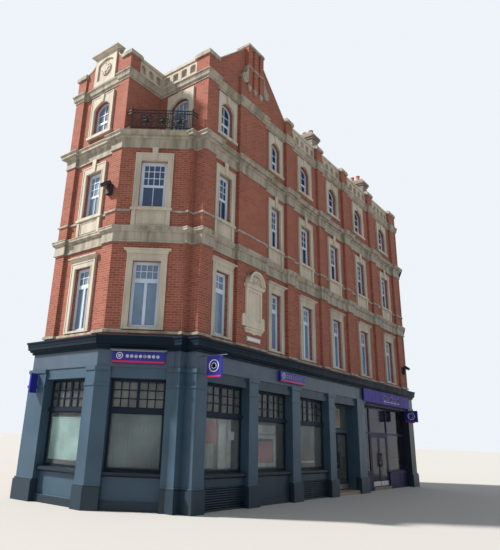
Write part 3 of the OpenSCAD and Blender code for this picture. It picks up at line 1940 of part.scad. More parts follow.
// Arched hood in two steps over a fluted shell
module plaque_shell() {
  bore = hood_r - hood_ring;
  step = hood_ring / 2;
  for (s = [[hood_r, bore + step - 20, plaque_hood], [bore + step, bore, plaque_hood - 50]])
    upright(-s[2], 0)
      polygon(concat(arc(s[0], 0, 180, 32), flip(arc(s[1], 0, 180, 32))));
  upright(-30, 0)
    polygon(arc(bore + 5, 0, 180, 32));
  for (i = [0:flutes - 1])
    upright(-75, 0)
      let(a = (i + 0.5) * 180 / flutes, t = 78 / flutes)
        polygon([
          for (q = [[0.18, -0.33], [0.86, -1], [0.94, -0.5], [0.96, 0], [0.94, 0.5], [0.86, 1], [0.18, 0.33]])
            bore * q[0] * [cos(a + t * q[1]), sin(a + t * q[1])]
        ]);
  upright(-95, 0)
    polygon(arc(85, 0, 180, 12));
}

placed() brick_piers();
placed() first_floor_wall();
placed() second_floor_wall();
placed() third_floor_wall();
placed() corner_wall();
placed() tower_walls();
placed() rear_wall();
placed() party_wall();
placed() ground_piers();
placed() floors();
placed() string_courses();
placed() main_cornice();
placed() upper_cornice();
placed() first_surrounds();
placed() second_surrounds();
placed() third_surrounds();
placed() window_frames();
placed() window_glass();
placed() shop_pilasters();
placed() shop_frames();
placed() shop_glass();
placed() shop_panels();
placed() fascia();
placed() shop_cornice();
placed() entrance_frame();
placed() bank_door_left();
placed() bank_door_right();
placed() bank_glass_left();
placed() bank_glass_right();
placed() side_shop_front();
placed() side_door_left();
placed() side_door_right();
placed() side_glass_left();
placed() side_glass_right();
placed() side_shop_board();
placed() sign_panels();
placed() lamp_brackets();
placed() roof_deck();
placed() slate_roof();
placed() parapet_piers();
placed() parapet_caps();
placed() balustrades();
placed() tower_crest();
placed() gable();
placed() gable_stonework();
placed() chimneys();
placed() chimney_pots();
placed() balcony_railing();
placed() wall_plaque();
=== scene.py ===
import math

import bmesh
import bpy
from bpy.props import FloatProperty, FloatVectorProperty, PointerProperty
from mathutils import Matrix, Vector


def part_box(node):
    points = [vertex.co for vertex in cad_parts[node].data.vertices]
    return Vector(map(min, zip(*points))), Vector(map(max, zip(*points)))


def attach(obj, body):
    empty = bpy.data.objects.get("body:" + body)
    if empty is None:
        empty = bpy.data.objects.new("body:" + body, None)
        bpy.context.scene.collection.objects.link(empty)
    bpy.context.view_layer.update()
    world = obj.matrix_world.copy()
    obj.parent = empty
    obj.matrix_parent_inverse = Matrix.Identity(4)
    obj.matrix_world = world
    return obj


bl_info = {
    "name": "Corner Shop Building",
    "version": (1, 0, 0),
    "blender": (4, 5, 0),
    "location": "View3D > Sidebar > Building",
    "description": "Finishes and fine parts of a brick corner building with shopfronts",
    "category": "Add Mesh",
}

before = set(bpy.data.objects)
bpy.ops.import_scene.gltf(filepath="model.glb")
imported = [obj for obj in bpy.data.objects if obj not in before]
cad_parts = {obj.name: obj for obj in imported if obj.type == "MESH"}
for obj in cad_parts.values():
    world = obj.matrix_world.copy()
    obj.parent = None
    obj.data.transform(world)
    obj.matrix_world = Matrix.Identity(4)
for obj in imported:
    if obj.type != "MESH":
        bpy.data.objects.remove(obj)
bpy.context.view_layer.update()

# Plan of the building, read from the frame's own walls, in metres
LONG_X, LONG_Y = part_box("first_floor_wall")[0][:2]
CORNER_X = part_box("corner_wall")[0][0]
PARTY_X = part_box("party_wall")[1][0]
REAR_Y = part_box("rear_wall")[1][1]
BALCONY_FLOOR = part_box("balcony_railing")[0][2]
LONG_RUN = PARTY_X - LONG_X
LEFT_RUN = 2.87
CORNER_Y = REAR_Y - LEFT_RUN
SPLAY_TURN = math.atan2(1.7, 1.35)
PIER_STEP = 0.11


def turned(x, y, angle):
    """Placement of a wall face: x runs along the face and y into the wall."""
    return Matrix.Translation((x, y, 0)) @ Matrix.Rotation(angle, 4, "Z")


ON_LONG = turned(LONG_X, LONG_Y, 0)
ON_SPLAY = turned(CORNER_X, CORNER_Y, -SPLAY_TURN)
ON_LEFT = turned(CORNER_X, REAR_Y, -math.pi / 2)

# Street windows, the splay's the second: middle along their face, width of the opening and panes across
LEFT_WINDOW = (1.485, 0.79, 3)
SPLAY_WINDOW = (1.11, 0.85, 4)
LONG_WINDOWS = (
    (1.19, 0.69, 2), (4.39, 0.65, 2), (6.73, 0.78, 4), (9.36, 0.8, 4), (12.24, 0.85, 4), (15.34, 0.88, 4),
)
SPLAY_PLACE = 1

# Width of the stone round a street window
ARCHITRAVE = 0.19

# Foot and head of the openings on each floor, and on the top floor the rise of their arches
FIRST = (4.87, 6.9)
SECOND = (8.64, 10.3)
THIRD = (11.83, 12.88, 0.23)

# Doorway to the balcony: its middle on the wall behind the splay, its width and its foot
ON_DOORWAY = turned(LONG_X, CORNER_Y, -math.pi / 2) @ Matrix.Translation((1.0, 0, 0))
DOORWAY_W = 0.83
DOORWAY_FOOT = BALCONY_FLOOR + 0.04

# Width of the window frames, and the front and back of the joinery that they hold
FRAME_W = 0.065
FRAME_BACK = 0.11
SASH = (FRAME_BACK + 0.004, FRAME_BACK + 0.028)
UPPER_SASH = (FRAME_BACK + 0.002, FRAME_BACK + 0.028)
MEETING_RAIL = (FRAME_BACK + 0.002, FRAME_BACK + 0.026)
BAR = (FRAME_BACK + 0.006, FRAME_BACK + 0.028)
CROSS_BAR = (FRAME_BACK + 0.008, FRAME_BACK + 0.026)


def window_places():
    """Each street window as its placement, its width and its panes across."""
    windows = [(ON_LEFT, PIER_STEP, LEFT_WINDOW), (ON_SPLAY, 0, SPLAY_WINDOW)]
    windows += [(ON_LONG, PIER_STEP, window) for window in LONG_WINDOWS]
    return [
        (wall @ Matrix.Translation((middle, back, 0)), width, panes)
        for wall, back, (middle, width, panes) in windows
    ]


# Shader networks
class Net:
    """A node tree with short calls to add nodes and join sockets."""

    def __init__(self, tree):
        self.nodes = tree.nodes
        self.links = tree.links

    def add(self, kind, values=None, **settings):
        node = self.nodes.new(kind)
        for name, value in settings.items():
            setattr(node, name, value)
        for name, value in (values or {}).items():
            self.feed(node.inputs[name], value)
        return node

    def feed(self, socket, value):
        if isinstance(value, bpy.types.NodeSocket):
            self.links.new(value, socket)
        else:
            socket.default_value = value

    def math(self, operation, a, b=0.0):
        return self.add("ShaderNodeMath", {0: a, 1: b}, operation=operation).outputs[0]

    def times(self, a, b):
        return self.math("MULTIPLY", a, b)

    def mix(self, factor, a, b):
        node = self.add("ShaderNodeMix", data_type="RGBA")
        for name, value in (("Factor", factor), ("A", a), ("B", b)):
            self.feed([s for s in node.inputs if s.name == name and s.enabled][0], value)
        return [s for s in node.outputs if s.enabled][0]

    def ramp(self, value, stops):
        node = self.add("ShaderNodeValToRGB", {"Fac": value})
        elements = node.color_ramp.elements
        while len(elements) < len(stops):
            elements.new(0.5)
        for element, (place, colour) in zip(elements, stops):
            element.position = place
            element.color = rgba(colour)
        return node.outputs[0]

    def remap(self, value, low, high, to_low=0.0, to_high=1.0):
        return self.add(
            "ShaderNodeMapRange",
            {"Value": value, "From Min": low, "From Max": high, "To Min": to_low, "To Max": to_high},
        ).outputs[0]


def rgba(colour, gain=1.0):
    return (*[min(1.0, c * gain) for c in colour[:3]], 1.0)


def new_group(name, inputs, outputs):
    """An empty shader group with its inputs, each with a default, and its outputs, all of them numbers."""
    tree = bpy.data.node_groups.new(name, "ShaderNodeTree")
    for label, default in inputs:
        socket = tree.interface.new_socket(label, in_out="INPUT", socket_type="NodeSocketFloat")
        socket.default_value = default
    for label in outputs:
        tree.interface.new_socket(label, in_out="OUTPUT", socket_type="NodeSocketFloat")
    net = Net(tree)
    return tree, net, net.add("NodeGroupInput").outputs, net.add("NodeGroupOutput").inputs


def give_out(net, out, **results):
    """Joins a group's results to its outputs."""
    for label, result in results.items():
        net.links.new(result, out[label])


def make_courses():
    """Running courses of bricks or slates on any upright or sloping face."""
    tree, net, given, out = new_group(
        "Courses",
        [("Length", 0.235), ("Height", 0.077), ("Joint", 0.006), ("Seed", 0.0)],
        ["Tone", "Joint", "Mottle"],
    )
    place = net.add("ShaderNodeTexCoord").outputs["Object"]
    at = net.add("ShaderNodeSeparateXYZ", {0: place}).outputs
    facing = net.add("ShaderNodeNewGeometry").outputs["True Normal"]
    n = net.add("ShaderNodeSeparateXYZ", {0: facing}).outputs
    squares = [net.times(n[axis], n[axis]) for axis in (0, 1)]
    flat = net.math("MAXIMUM", net.math("SQRT", net.math("ADD", *squares)), 0.001)
    along = net.math("SUBTRACT", net.times(at[1], n[0]), net.times(at[0], n[1]))
    along = net.math("DIVIDE", along, flat)
    up = net.math("DIVIDE", at[2], net.math("MAXIMUM", flat, 0.3))
    where = net.add("ShaderNodeCombineXYZ", {0: net.math("ADD", along, given["Seed"]), 1: up}).outputs[0]
    bond = net.add(
        "ShaderNodeTexBrick",
        {
            "Vector": where, "Color1": (1, 1, 1, 1), "Color2": (0, 0, 0, 1), "Mortar": (0.5, 0.5, 0.5, 1),
            "Scale": 1.0, "Mortar Size": given["Joint"], "Mortar Smooth": 0.3, "Bias": 0.0,
            "Brick Width": given["Length"], "Row Height": given["Height"],
        },
        offset=0.5, squash=1.0,
    )
    mottle = net.add("ShaderNodeTexNoise", {"Vector": place, "Scale": 26.0, "Detail": 3.0}).outputs["Fac"]
    give_out(net, out, Tone=bond.outputs["Color"], Joint=bond.outputs["Fac"], Mottle=mottle)
    return tree


def make_weather():
    """Broad stains, rain streaks, fine grain and a mask of the faces that look up."""
    tree, net, given, out = new_group(
        "Weather", [("Stain Scale", 0.5), ("Streak Width", 3.0)], ["Stain", "Streak", "Upward", "Grain"]
    )
    place = net.add("ShaderNodeTexCoord").outputs["Object"]
    stain = net.add(
        "ShaderNodeTexNoise",
        {"Vector": place, "Scale": given["Stain Scale"], "Detail": 5.0, "Roughness": 0.6},
    )
    stretched = net.add("ShaderNodeMapping", {"Vector": place, "Scale": (1, 1, 0.12)})
    streak = net.add(
        "ShaderNodeTexNoise",
        {"Vector": stretched.outputs[0], "Scale": given["Streak Width"], "Detail": 4.0, "Roughness": 0.65},
    )
    facing = net.add("ShaderNodeNewGeometry").outputs["True Normal"]
    n = net.add("ShaderNodeSeparateXYZ", {0: facing}).outputs
    grain = net.add("ShaderNodeTexNoise", {"Vector": place, "Scale": 45.0, "Detail": 2.0})
    give_out(net, out, Stain=stain.outputs["Fac"], Streak=streak.outputs["Fac"], Grain=grain.outputs["Fac"])
    give_out(net, out, Upward=net.remap(n[2], 0.15, 0.7))
    return tree


GROUPS = {}


def use_group(net, name, **values):
    """Places a shader group, built the first time it is asked for, with its own values."""
    if name not in GROUPS:
        GROUPS[name] = {"Courses": make_courses, "Weather": make_weather}[name]()
    node = net.add("ShaderNodeGroup", node_tree=GROUPS[name])
    for label, value in values.items():
        node.inputs[label.replace("_", " ")].default_value = value
    return node.outputs


def new_material(name, **levels):
    """A material, its nodes and its shader, with the levels set on the shader's own sockets."""
    material = bpy.data.materials.new(name)
    material.use_nodes = True
    net = Net(material.node_tree)
    shader = net.nodes["Principled BSDF"]
    for label, level in levels.items():
        shader.inputs[label.replace("_", " ")].default_value = level
    return material, net, shader


def join(net, shader, colour, rough=None, height=None, strength=0.3, distance=0.004):
    """Joins the colour to the shader, and the roughness and the relief where they change."""
    net.links.new(colour, shader.inputs["Base Color"])
    if rough is not None:
        net.links.new(rough, shader.inputs["Roughness"])
    if height is not None:
        bump = net.add("ShaderNodeBump", {"Height": height, "Strength": strength, "Distance": distance})
        net.links.new(bump.outputs[0], shader.inputs["Normal"])


# Colours of dirt and wear, the painted reflection on dim patches of glass and on the glass of the left face,
# and the painted shade on the glass of the side shop
SOOT = (0.09, 0.06, 0.05)
SALT_BLOOM = (0.46, 0.3, 0.24)
STONE_SOOT = (0.11, 0.1, 0.085)
CORNICE_SOOT = (0.075, 0.07, 0.065)
STONE_LICHEN = (0.36, 0.34, 0.16)
SLATE_LICHEN = (0.25, 0.25, 0.2)
SLATE_JOINT = (0.03, 0.03, 0.04)
LEDGE_FILM = (0.3, 0.29, 0.27)
# Painted reflection: glass darker in patches, where less sky is reflected
PAINTED_DIM_REFLECTION = (0.02, 0.03, 0.05)
# Painted reflection: paler glass on the upper windows of the left face
PAINTED_LEFT_FACE_REFLECTION = (0.28, 0.4, 0.55)
# Painted shade: darker glass in the side shop, for its unlit inside
PAINTED_SIDE_SHOP_SHADE = (0.2, 0.2, 0.28)


def share_of(tone, gain):
    """One of the building's main colours, lighter or darker."""
    return [c * gain for c in getattr(bpy.context.scene.building_finishes, tone)]


def brickwork(name, tones, joint_colour, seed, soot):
    """Laid bricks, each tone of them a share of the main brick colour or a colour of its own."""
    material, net, shader = new_material(name, Specular_IOR_Level=0.25)
    laid = use_group(net, "Courses", Length=0.228, Height=0.077, Joint=0.006, Seed=seed)
    weather = use_group(net, "Weather", Stain_Scale=0.45, Streak_Width=2.2)
    tone = net.math("ADD", net.times(laid["Tone"], 0.7), net.times(laid["Mottle"], 0.3))
    colours = [c if isinstance(c, tuple) else share_of("brick", c) for c in tones]
    face = net.ramp(tone, [(i / (len(colours) - 1), c) for i, c in enumerate(colours)])
    face = net.mix(net.times(laid["Joint"], 0.85), face, rgba(joint_colour))
    face = net.mix(net.remap(weather["Stain"], 0.35, 0.7, 0.0, soot), face, rgba(SOOT))
    face = net.mix(net.remap(weather["Streak"], 0.55, 0.8, 0.0, 0.18), face, rgba(SALT_BLOOM))
    height = net.math("SUBTRACT", net.times(laid["Mottle"], 0.25), laid["Joint"])
    join(net, shader, face, net.remap(laid["Mottle"], 0.3, 0.7, 0.82, 0.95), height, 0.5, 0.006)
    return material


def stonework(name, gain, dark, amount, lichen=0.0):
    """Stone at a share of the main stone colour, with dark runs, sooty ledges and lichen."""
    base = share_of("stone", gain)
    material, net, shader = new_material(name, Specular_IOR_Level=0.3)
    weather = use_group(net, "Weather", Stain_Scale=0.9, Streak_Width=4.0)
    tint = net.mix(net.remap(weather["Grain"], 0.3, 0.7), rgba(base, 0.88), rgba(base, 1.08))
    tint = net.mix(net.remap(weather["Stain"], 0.35, 0.65, 0.0, 0.35), tint, rgba(base, 0.62))
    run = net.times(net.remap(weather["Streak"], 0.42, 0.66), amount)
    tint = net.mix(run, tint, rgba(dark))
    crust = net.times(weather["Upward"], net.remap(weather["Stain"], 0.25, 0.6, 0.45, 0.95))
    tint = net.mix(crust, tint, rgba(dark))
    if lichen:
        patch = net.times(net.remap(weather["Stain"], 0.5, 0.62), lichen)
        tint = net.mix(patch, tint, rgba(STONE_LICHEN))
    join(net, shader, tint, net.remap(weather["Grain"], 0.3, 0.7, 0.75, 0.92), weather["Grain"], 0.35, 0.004)
    return material


def paint(name, base, rough, dirt, film=0.45, bands=(), gloss=0.28):
    """Weathered coat of paint with darker bands, each given as its axis, low, high and gain."""
    material, net, shader = new_material(name, Specular_IOR_Level=gloss)
    weather = use_group(net, "Weather", Stain_Scale=0.8, Streak_Width=5.0)
    tint = net.mix(net.remap(weather["Stain"], 0.35, 0.7), rgba(base, 1.08), rgba(base, 0.82))
    dust = net.times(net.remap(weather["Streak"], 0.5, 0.75), dirt)
    tint = net.mix(dust, tint, rgba([c * 0.7 + 0.035 for c in base]))
    tint = net.mix(net.times(weather["Upward"], film), tint, rgba(LEDGE_FILM))
    if bands:
        place = net.add("ShaderNodeTexCoord").outputs["Object"]
        place = net.add("ShaderNodeSeparateXYZ", {0: place})
    soft_edge = 0.004
    for axis, low, high, gain in bands:
        at = place.outputs[axis]
        from_low, to_high = net.remap(at, low - soft_edge, low), net.remap(at, high + soft_edge, high)
        tint = net.mix(net.times(from_low, to_high), tint, rgba(base, gain))
    sheen = net.remap(weather["Streak"], 0.3, 0.7, rough - 0.08, rough + 0.14)
    join(net, shader, tint, sheen, weather["Stain"], 0.1, 0.003)
    return material


def shopfront_paint(name, gain, rough, film, *bands):
    """The shopfront's paint at a share of its main colour."""
    return paint(name, share_of("shopfront", gain), rough, 0.1, film, bands)


def glass(name, tint, high_tint, clear, index):
    """Glass of one tint low down and another high up, paler on the left face up high, darker in the side shop
    and darker in patches. On the upper windows the two tints, the paler left face and the patches are painted
    reflection; the side shop's darker glass is painted shade.
    """
    material, net, shader = new_material(name, Transmission_Weight=clear, IOR=index, Specular_IOR_Level=0.5)
    weather = use_group(net, "Weather", Stain_Scale=0.55, Streak_Width=1.6)
    place = net.add("ShaderNodeTexCoord").outputs["Object"]
    facing = net.add("ShaderNodeTexCoord").outputs["Normal"]
    turned_left = net.remap(net.add("ShaderNodeSeparateXYZ", {0: facing}).outputs[0], -0.85, -0.95)
    place = net.add("ShaderNodeSeparateXYZ", {0: place}).outputs
    # Painted reflection: the upper glass is pale sky blue low down and deep blue high up
    base = net.mix(net.remap(place[2], 7.2, 8.2), rgba(tint), rgba(high_tint))
    # Painted reflection: paler glass on the upper windows of the left face
    left_face = net.times(turned_left, net.remap(place[2], 4.2, 4.3))
    base = net.mix(left_face, base, rgba(PAINTED_LEFT_FACE_REFLECTION))
    # Painted shade: darker glass in the side shop, for its unlit inside
    shop_x = LONG_X + 10.9
    past_entrance = net.remap(place[0], shop_x, shop_x + 0.1)
    side_shop = net.times(past_entrance, net.remap(place[2], 4.0, 3.9))
    base = net.mix(side_shop, base, rgba(PAINTED_SIDE_SHOP_SHADE))
    # Painted reflection: the glass is darker in patches, where less sky is reflected
    shade = net.mix(net.remap(weather["Stain"], 0.3, 0.7), base, net.mix(0.5, base, rgba(PAINTED_DIM_REFLECTION)))
    join(net, shader, shade, net.remap(weather["Streak"], 0.35, 0.75, 0.04, 0.14))
    return material


def plain(name, base, rough, metal=0.0, speck=0.15, scale=30.0):
    """One even colour with a fine speck."""
    material, net, shader = new_material(name, Metallic=metal)
    place = net.add("ShaderNodeTexCoord").outputs["Object"]
    noise = net.add("ShaderNodeTexNoise", {"Vector": place, "Scale": scale, "Detail": 4.0}).outputs["Fac"]
    tint = net.mix(net.remap(noise, 0.3, 0.7), rgba(base, 1 - speck), rgba(base, 1 + speck))
    join(net, shader, tint, net.remap(noise, 0.3, 0.7, rough - 0.08, rough + 0.1), noise, 0.15, 0.002)
    return material


def slates(name):
    """Slates in courses, with pale lichen."""
    material, net, shader = new_material(name, Roughness=0.6)
    laid = use_group(net, "Courses", Length=0.3, Height=0.22, Joint=0.004)
    weather = use_group(net, "Weather", Stain_Scale=0.7, Streak_Width=3.0)
    tones = [(0.0, (0.1, 0.12, 0.15)), (0.6, (0.16, 0.18, 0.22)), (1.0, (0.22, 0.23, 0.25))]
    face = net.ramp(laid["Tone"], tones)
    face = net.mix(net.times(laid["Joint"], 0.8), face, rgba(SLATE_JOINT))
    face = net.mix(net.remap(weather["Stain"], 0.5, 0.7, 0.0, 0.5), face, rgba(SLATE_LICHEN))
    join(net, shader, face, None, net.math("SUBTRACT", laid["Tone"], laid["Joint"]), 0.4, 0.008)
    return material


def floorboards(name):
    """Floor boards with the grain along the long face."""
    material, net, shader = new_material(name, Roughness=0.6)
    place = net.add("ShaderNodeTexCoord").outputs["Object"]
    wide = net.add("ShaderNodeMapping", {"Vector": place, "Scale": (0.3, 7.0, 1.0)}).outputs[0]
    noise = net.add("ShaderNodeTexNoise", {"Vector": wide, "Scale": 2.0, "Detail": 5.0}).outputs["Fac"]
    tint = net.ramp(noise, [(0.3, (0.14, 0.1, 0.07)), (0.7, (0.3, 0.22, 0.15))])
    join(net, shader, tint, None, noise, 0.2, 0.003)
    return material


# Bands of shade: the party end, the foot of the pilasters, and the risers' long run, foot and sills
FAR = 40.0
PARTY_END = (0, LONG_X + 16.64, FAR, 0.25)
PILASTER_FOOT = (2, -1.0, 0.6, 0.4)
RISER_BANDS = ((0, LONG_X + 0.25, FAR, 0.45), (2, -1.0, 0.205, 0.3), (2, 0.825, 0.97, 0.2))

# Each finish as the function that makes it and what that is given
FINISHES = {
    "brick": (brickwork, "Red brick", (0.72, 1.0, 1.25), (0.4, 0.3, 0.23), 0.0, 0.18),
    "party_brick": (brickwork, "Stock brick", (0.6, 0.85, (0.3, 0.2, 0.15)), (0.26, 0.22, 0.19), 0.1, 0.5),
    "stack_brick": (
        brickwork, "Chimney brick", ((0.16, 0.12, 0.1), (0.25, 0.21, 0.18), (0.32, 0.29, 0.25)),
        (0.27, 0.25, 0.22), 0.05, 0.4,
    ),
    "head_brick": (plain, "Gauged brick", (0.36, 0.13, 0.09), 0.88, 0.0, 0.25, 14.0),
    "stone": (stonework, "Dressed stone", 1.0, STONE_SOOT, 0.3),
    "plaque_stone": (stonework, "Clean stone", 1.18, STONE_SOOT, 0.22),
    "sooty_stone": (stonework, "Sooty stone", 0.75, CORNICE_SOOT, 0.6, 0.12),
    # Painted shade: the white joinery is a darker, bluish grey, as it looks in cool shade under the sky
    "white": (paint, "White joinery", (0.58, 0.67, 0.8), 0.4, 0.08),
    "shop_paint": (shopfront_paint, "Slate blue paint", 0.78, 0.38, 0.35, PARTY_END),
    "pilaster_paint": (shopfront_paint, "Pilaster paint", 0.78, 0.38, 0.35, PARTY_END, PILASTER_FOOT),
    "panel_paint": (shopfront_paint, "Deep slate paint", 0.8, 0.42, 0.06, *RISER_BANDS),
    "fascia_paint": (paint, "Grey fascia paint", (0.068, 0.1, 0.145), 0.4, 0.15),
    "cornice_paint": (paint, "Night blue paint", (0.005, 0.014, 0.027), 0.5, 0.03, 0.05, (), 0.1),
    "navy": (paint, "Navy joinery", (0.007, 0.015, 0.029), 0.45, 0.06, 0.08, (), 0.14),
    "plum": (paint, "Plum joinery", (0.018, 0.014, 0.06), 0.45, 0.05, 0.1, (), 0.14),
    "purple": (paint, "Purple board", (0.045, 0.028, 0.25), 0.5, 0.03, 0.0, (), 0.15),
    "lilac": (paint, "Lilac mark", (0.62, 0.55, 0.72), 0.4, 0.05),
    "sign_blue": (paint, "Blue sign face", (0.02, 0.022, 0.26), 0.3, 0.05),
    "sign_red": (paint, "Red sign strip", (0.6, 0.02, 0.05), 0.35, 0.05),
    "sign_white": (paint, "White sign mark", (0.8, 0.82, 0.85), 0.35, 0.05),
    # Painted reflection: the window glass is pale sky blue low down and deep blue high up
    "upper_glass": (glass, "Window glass", (0.25, 0.4, 0.6), (0.012, 0.06, 0.17), 0.25, 1.5),
    "shop_glass": (glass, "Shop glass", (0.84, 0.9, 0.9), (0.84, 0.9, 0.9), 0.92, 1.22),
    "iron": (plain, "Black iron", (0.012, 0.012, 0.016), 0.65),
    "lamp": (plain, "Grey lamp metal", (0.1, 0.11, 0.13), 0.4, 0.4),
    "lens": (plain, "Lamp lens", (0.32, 0.35, 0.36), 0.15, 0.0, 0.05, 40.0),
    "clay": (plain, "Fired clay", (0.46, 0.19, 0.115), 0.8, 0.0, 0.25, 9.0),
    "lead": (plain, "Dull lead", (0.2, 0.21, 0.23), 0.55, 0.4, 0.2, 6.0),
    "felt": (plain, "Roof felt", (0.1, 0.1, 0.11), 0.9, 0.0, 0.2, 40.0),
    "steel": (plain, "Brushed steel", (0.5, 0.5, 0.52), 0.3, 0.9, 0.08, 60.0),
    "slate": (slates, "Roof slates"),
    "boards": (floorboards, "Floor boards"),
    "blind": (plain, "Display board", (0.55, 0.56, 0.54), 0.9, 0.0, 0.06, 18.0),
    "mint_blind": (plain, "Roller blind", (0.6, 0.85, 0.8), 0.9, 0.0, 0.05, 18.0),
    "net": (plain, "Net curtain", (0.18, 0.24, 0.25), 0.95, 0.0, 0.12, 60.0),
    "warm_net": (plain, "Lit net curtain", (0.42, 0.38, 0.34), 0.95, 0.0, 0.15, 50.0),
    "rose": (plain, "Rose card", (0.42, 0.12, 0.15), 0.7, 0.0, 0.1, 20.0),
    "amber": (plain, "Amber card", (0.5, 0.28, 0.14), 0.7, 0.0, 0.2, 6.0),
    "cool_card": (plain, "Cool card", (0.3, 0.5, 0.55), 0.6, 0.0, 0.2, 5.0),
}
MATERIALS = {}


def finish_of(name):
    """The material of a named finish, made the first time it is asked for."""
    if name not in MATERIALS:
        make, *values = FINISHES[name]
        MATERIALS[name] = make(*values)
    return MATERIALS[name]


NODE_FINISH = {
    "brick": (
        "brick_piers", "first_floor_wall", "second_floor_wall", "third_floor_wall", "corner_wall",
        "tower_walls", "parapet_piers", "gable",
    ),
    "party_brick": ("party_wall", "rear_wall"),
    "stack_brick": ("chimneys",),
    "panel_paint": ("shop_panels",),
    "boards": ("floors",),
    "stone": (
        "first_surrounds", "second_surrounds", "third_surrounds", "balustrades", "tower_crest",
    ),
    "plaque_stone": ("wall_plaque",),
    "sooty_stone": ("string_courses", "main_cornice", "upper_cornice", "parapet_caps", "gable_stonework"),
    "white": ("window_frames",),
    "upper_glass": ("window_glass",),
    "shop_glass": (
        "shop_glass", "bank_glass_left", "bank_glass_right", "side_glass_left", "side_glass_right",
    ),
    "shop_paint": ("ground_piers", "entrance_frame"),
    "pilaster_paint": ("shop_pilasters",),
    "fascia_paint": ("fascia",),
    "cornice_paint": ("shop_cornice",),
    "navy": ("shop_frames", "bank_door_left", "bank_door_right"),
    "plum": ("side_shop_front", "side_door_left", "side_door_right"),
    "purple": ("side_shop_board",),
    "sign_blue": ("sign_panels",),
    "lamp": ("lamp_brackets",),
    "felt": ("roof_deck",),
    "slate": ("slate_roof",),
    "clay": ("chimney_pots",),
    "iron": ("balcony_railing",),
}


# Mesh helpers
def add_box(bm, place, x0, x1, y0, y1, z0, z1):
    size = Matrix.Diagonal((x1 - x0, y1 - y0, z1 - z0, 1))
    centre = Matrix.Translation(((x0 + x1) / 2, (y0 + y1) / 2, (z0 + z1) / 2))
    bmesh.ops.create_cube(bm, size=1.0, matrix=place @ centre @ size)


def add_rod(bm, place, a, b, radius, sides=8):
    a, b = Vector(a), Vector(b)
    turn = Vector((0, 0, 1)).rotation_difference(b - a).to_matrix().to_4x4()
    matrix = place @ Matrix.Translation((a + b) / 2) @ turn
    bmesh.ops.create_cone(
        bm, cap_ends=True, segments=sides, radius1=radius, radius2=radius, depth=(b - a).length, matrix=matrix
    )


def add_ball(bm, place, at, radius, sides=10):
    bmesh.ops.create_uvsphere(
        bm, u_segments=sides, v_segments=sides - 2, radius=radius, matrix=place @ Matrix.Translation(at)
    )


def add_hoop(bm, place, centre, radius, start, sweep, thick):
    """Round bar bent into an arc in the x and z plane, its start and sweep in degrees."""
    sides, step = 6, 18
    frame_at = place @ Matrix.Translation(centre) @ Matrix.Rotation(-math.radians(start), 4, "Y")
    section = frame_at @ Matrix.Translation((radius, 0, 0))
    ring = bmesh.ops.create_circle(bm, cap_ends=False, segments=sides, radius=thick, matrix=section)["verts"]
    edges = list({e for v in ring for e in v.link_edges})
    steps = max(6, int(abs(sweep) / step))
    bmesh.ops.spin(
        bm, geom=ring + edges, cent=frame_at.translation, axis=(frame_at.to_3x3() @ Vector((0, 1, 0))),
        angle=-math.radians(sweep), steps=steps, use_merge=abs(sweep) >= 360,
    )


def add_folds(bm, place, x0, x1, y, z0, z1, folds, depth):
    """Hanging cloth with even folds."""
    steps = folds * 6
    grid = bmesh.ops.create_grid(bm, x_segments=steps, y_segments=2, size=0.5)["verts"]
    for v in grid:
        across, down = v.co.x + 0.5, v.co.y + 0.5
        wave = math.sin(across * folds * 2 * math.pi) * depth * (1.1 - 0.4 * down)
        v.co = place @ Vector((x0 + (x1 - x0) * across, y + wave, z0 + (z1 - z0) * down))


def add_star(bm, place, at, radius):
    """Plain eight-pointed mark on a sign face."""
    depth = 0.006
    for turn in (0, 45):
        mark = place @ Matrix.Translation(at) @ Matrix.Rotation(math.radians(turn), 4, "Y")
        add_box(bm, mark, -radius, radius, -depth / 2, depth / 2, -radius, radius)


def add_lights_grid(bm, place, x0, x1, z0, z1, y0, y1, columns, rows, bar):
    """Bars that divide a light into equal panes."""
    step_back = 0.002
    for i in range(1, columns):
        x = x0 + (x1 - x0) * i / columns
        add_box(bm, place, x - bar / 2, x + bar / 2, y0, y1, z0, z1)
    for j in range(1, rows):
        z = z0 + (z1 - z0) * j / rows
        add_box(bm, place, x0, x1, y0 + step_back, y1 - step_back, z - bar / 2, z + bar / 2)


def add_ring(bm, place, x0, x1, z0, z1, y0, y1, member):
    """Four members round a light."""
    add_box(bm, place, x0, x0 + member, y0, y1, z0, z1)
    add_box(bm, place, x1 - member, x1, y0, y1, z0, z1)
    add_box(bm, place, x0 + member, x1 - member, y0, y1, z0, z0 + member)
    add_box(bm, place, x0 + member, x1 - member, y0, y1, z1 - member, z1)


def mesh_object(bm, name, material):
    """Puts the bmesh into the scene as an object of one material."""
    mesh = bpy.data.meshes.new(name)
    bm.to_mesh(mesh)
    bm.free()
    mesh.materials.append(material)
    made = bpy.data.objects.new(name, mesh)
    bpy.context.scene.collection.objects.link(made)
    return made


def finish_piece(bm, name, finish, body="building", smooth=False):
    """Makes the bmesh a piece that rides on a body and wears a finish."""
    piece = mesh_object(bm, name, finish_of(finish))
    for polygon in piece.data.polygons:
        polygon.use_smooth = smooth
    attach(piece, body)
    return piece


def hang_net(name, finish, place, x0, x1, y, z0, z1, folds, depth):
    """Hangs a net of cloth, gathered into even folds, inside a shop window."""
    bm = bmesh.new()
    add_folds(bm, place, x0, x1, y, z0, z1, folds, depth)
    piece = finish_piece(bm, name, finish, smooth=True)


class BuildingFinishes(bpy.types.PropertyGroup):
    """Main colours of the building."""

    brick: FloatVectorProperty(
        name="Brick", description="Middle tone of the red brick", subtype="COLOR", size=3, min=0, max=1,
        default=(0.3, 0.086, 0.058),
    )
    stone: FloatVectorProperty(
        name="Stone", description="Clean tone of the stone dressings", subtype="COLOR", size=3, min=0, max=1,
        default=(0.58, 0.52, 0.43),
    )
    shopfront: FloatVectorProperty(
        name="Shopfront", description="Paint of the shopfront", subtype="COLOR", size=3, min=0, max=1,
        default=(0.058, 0.11, 0.165),
    )


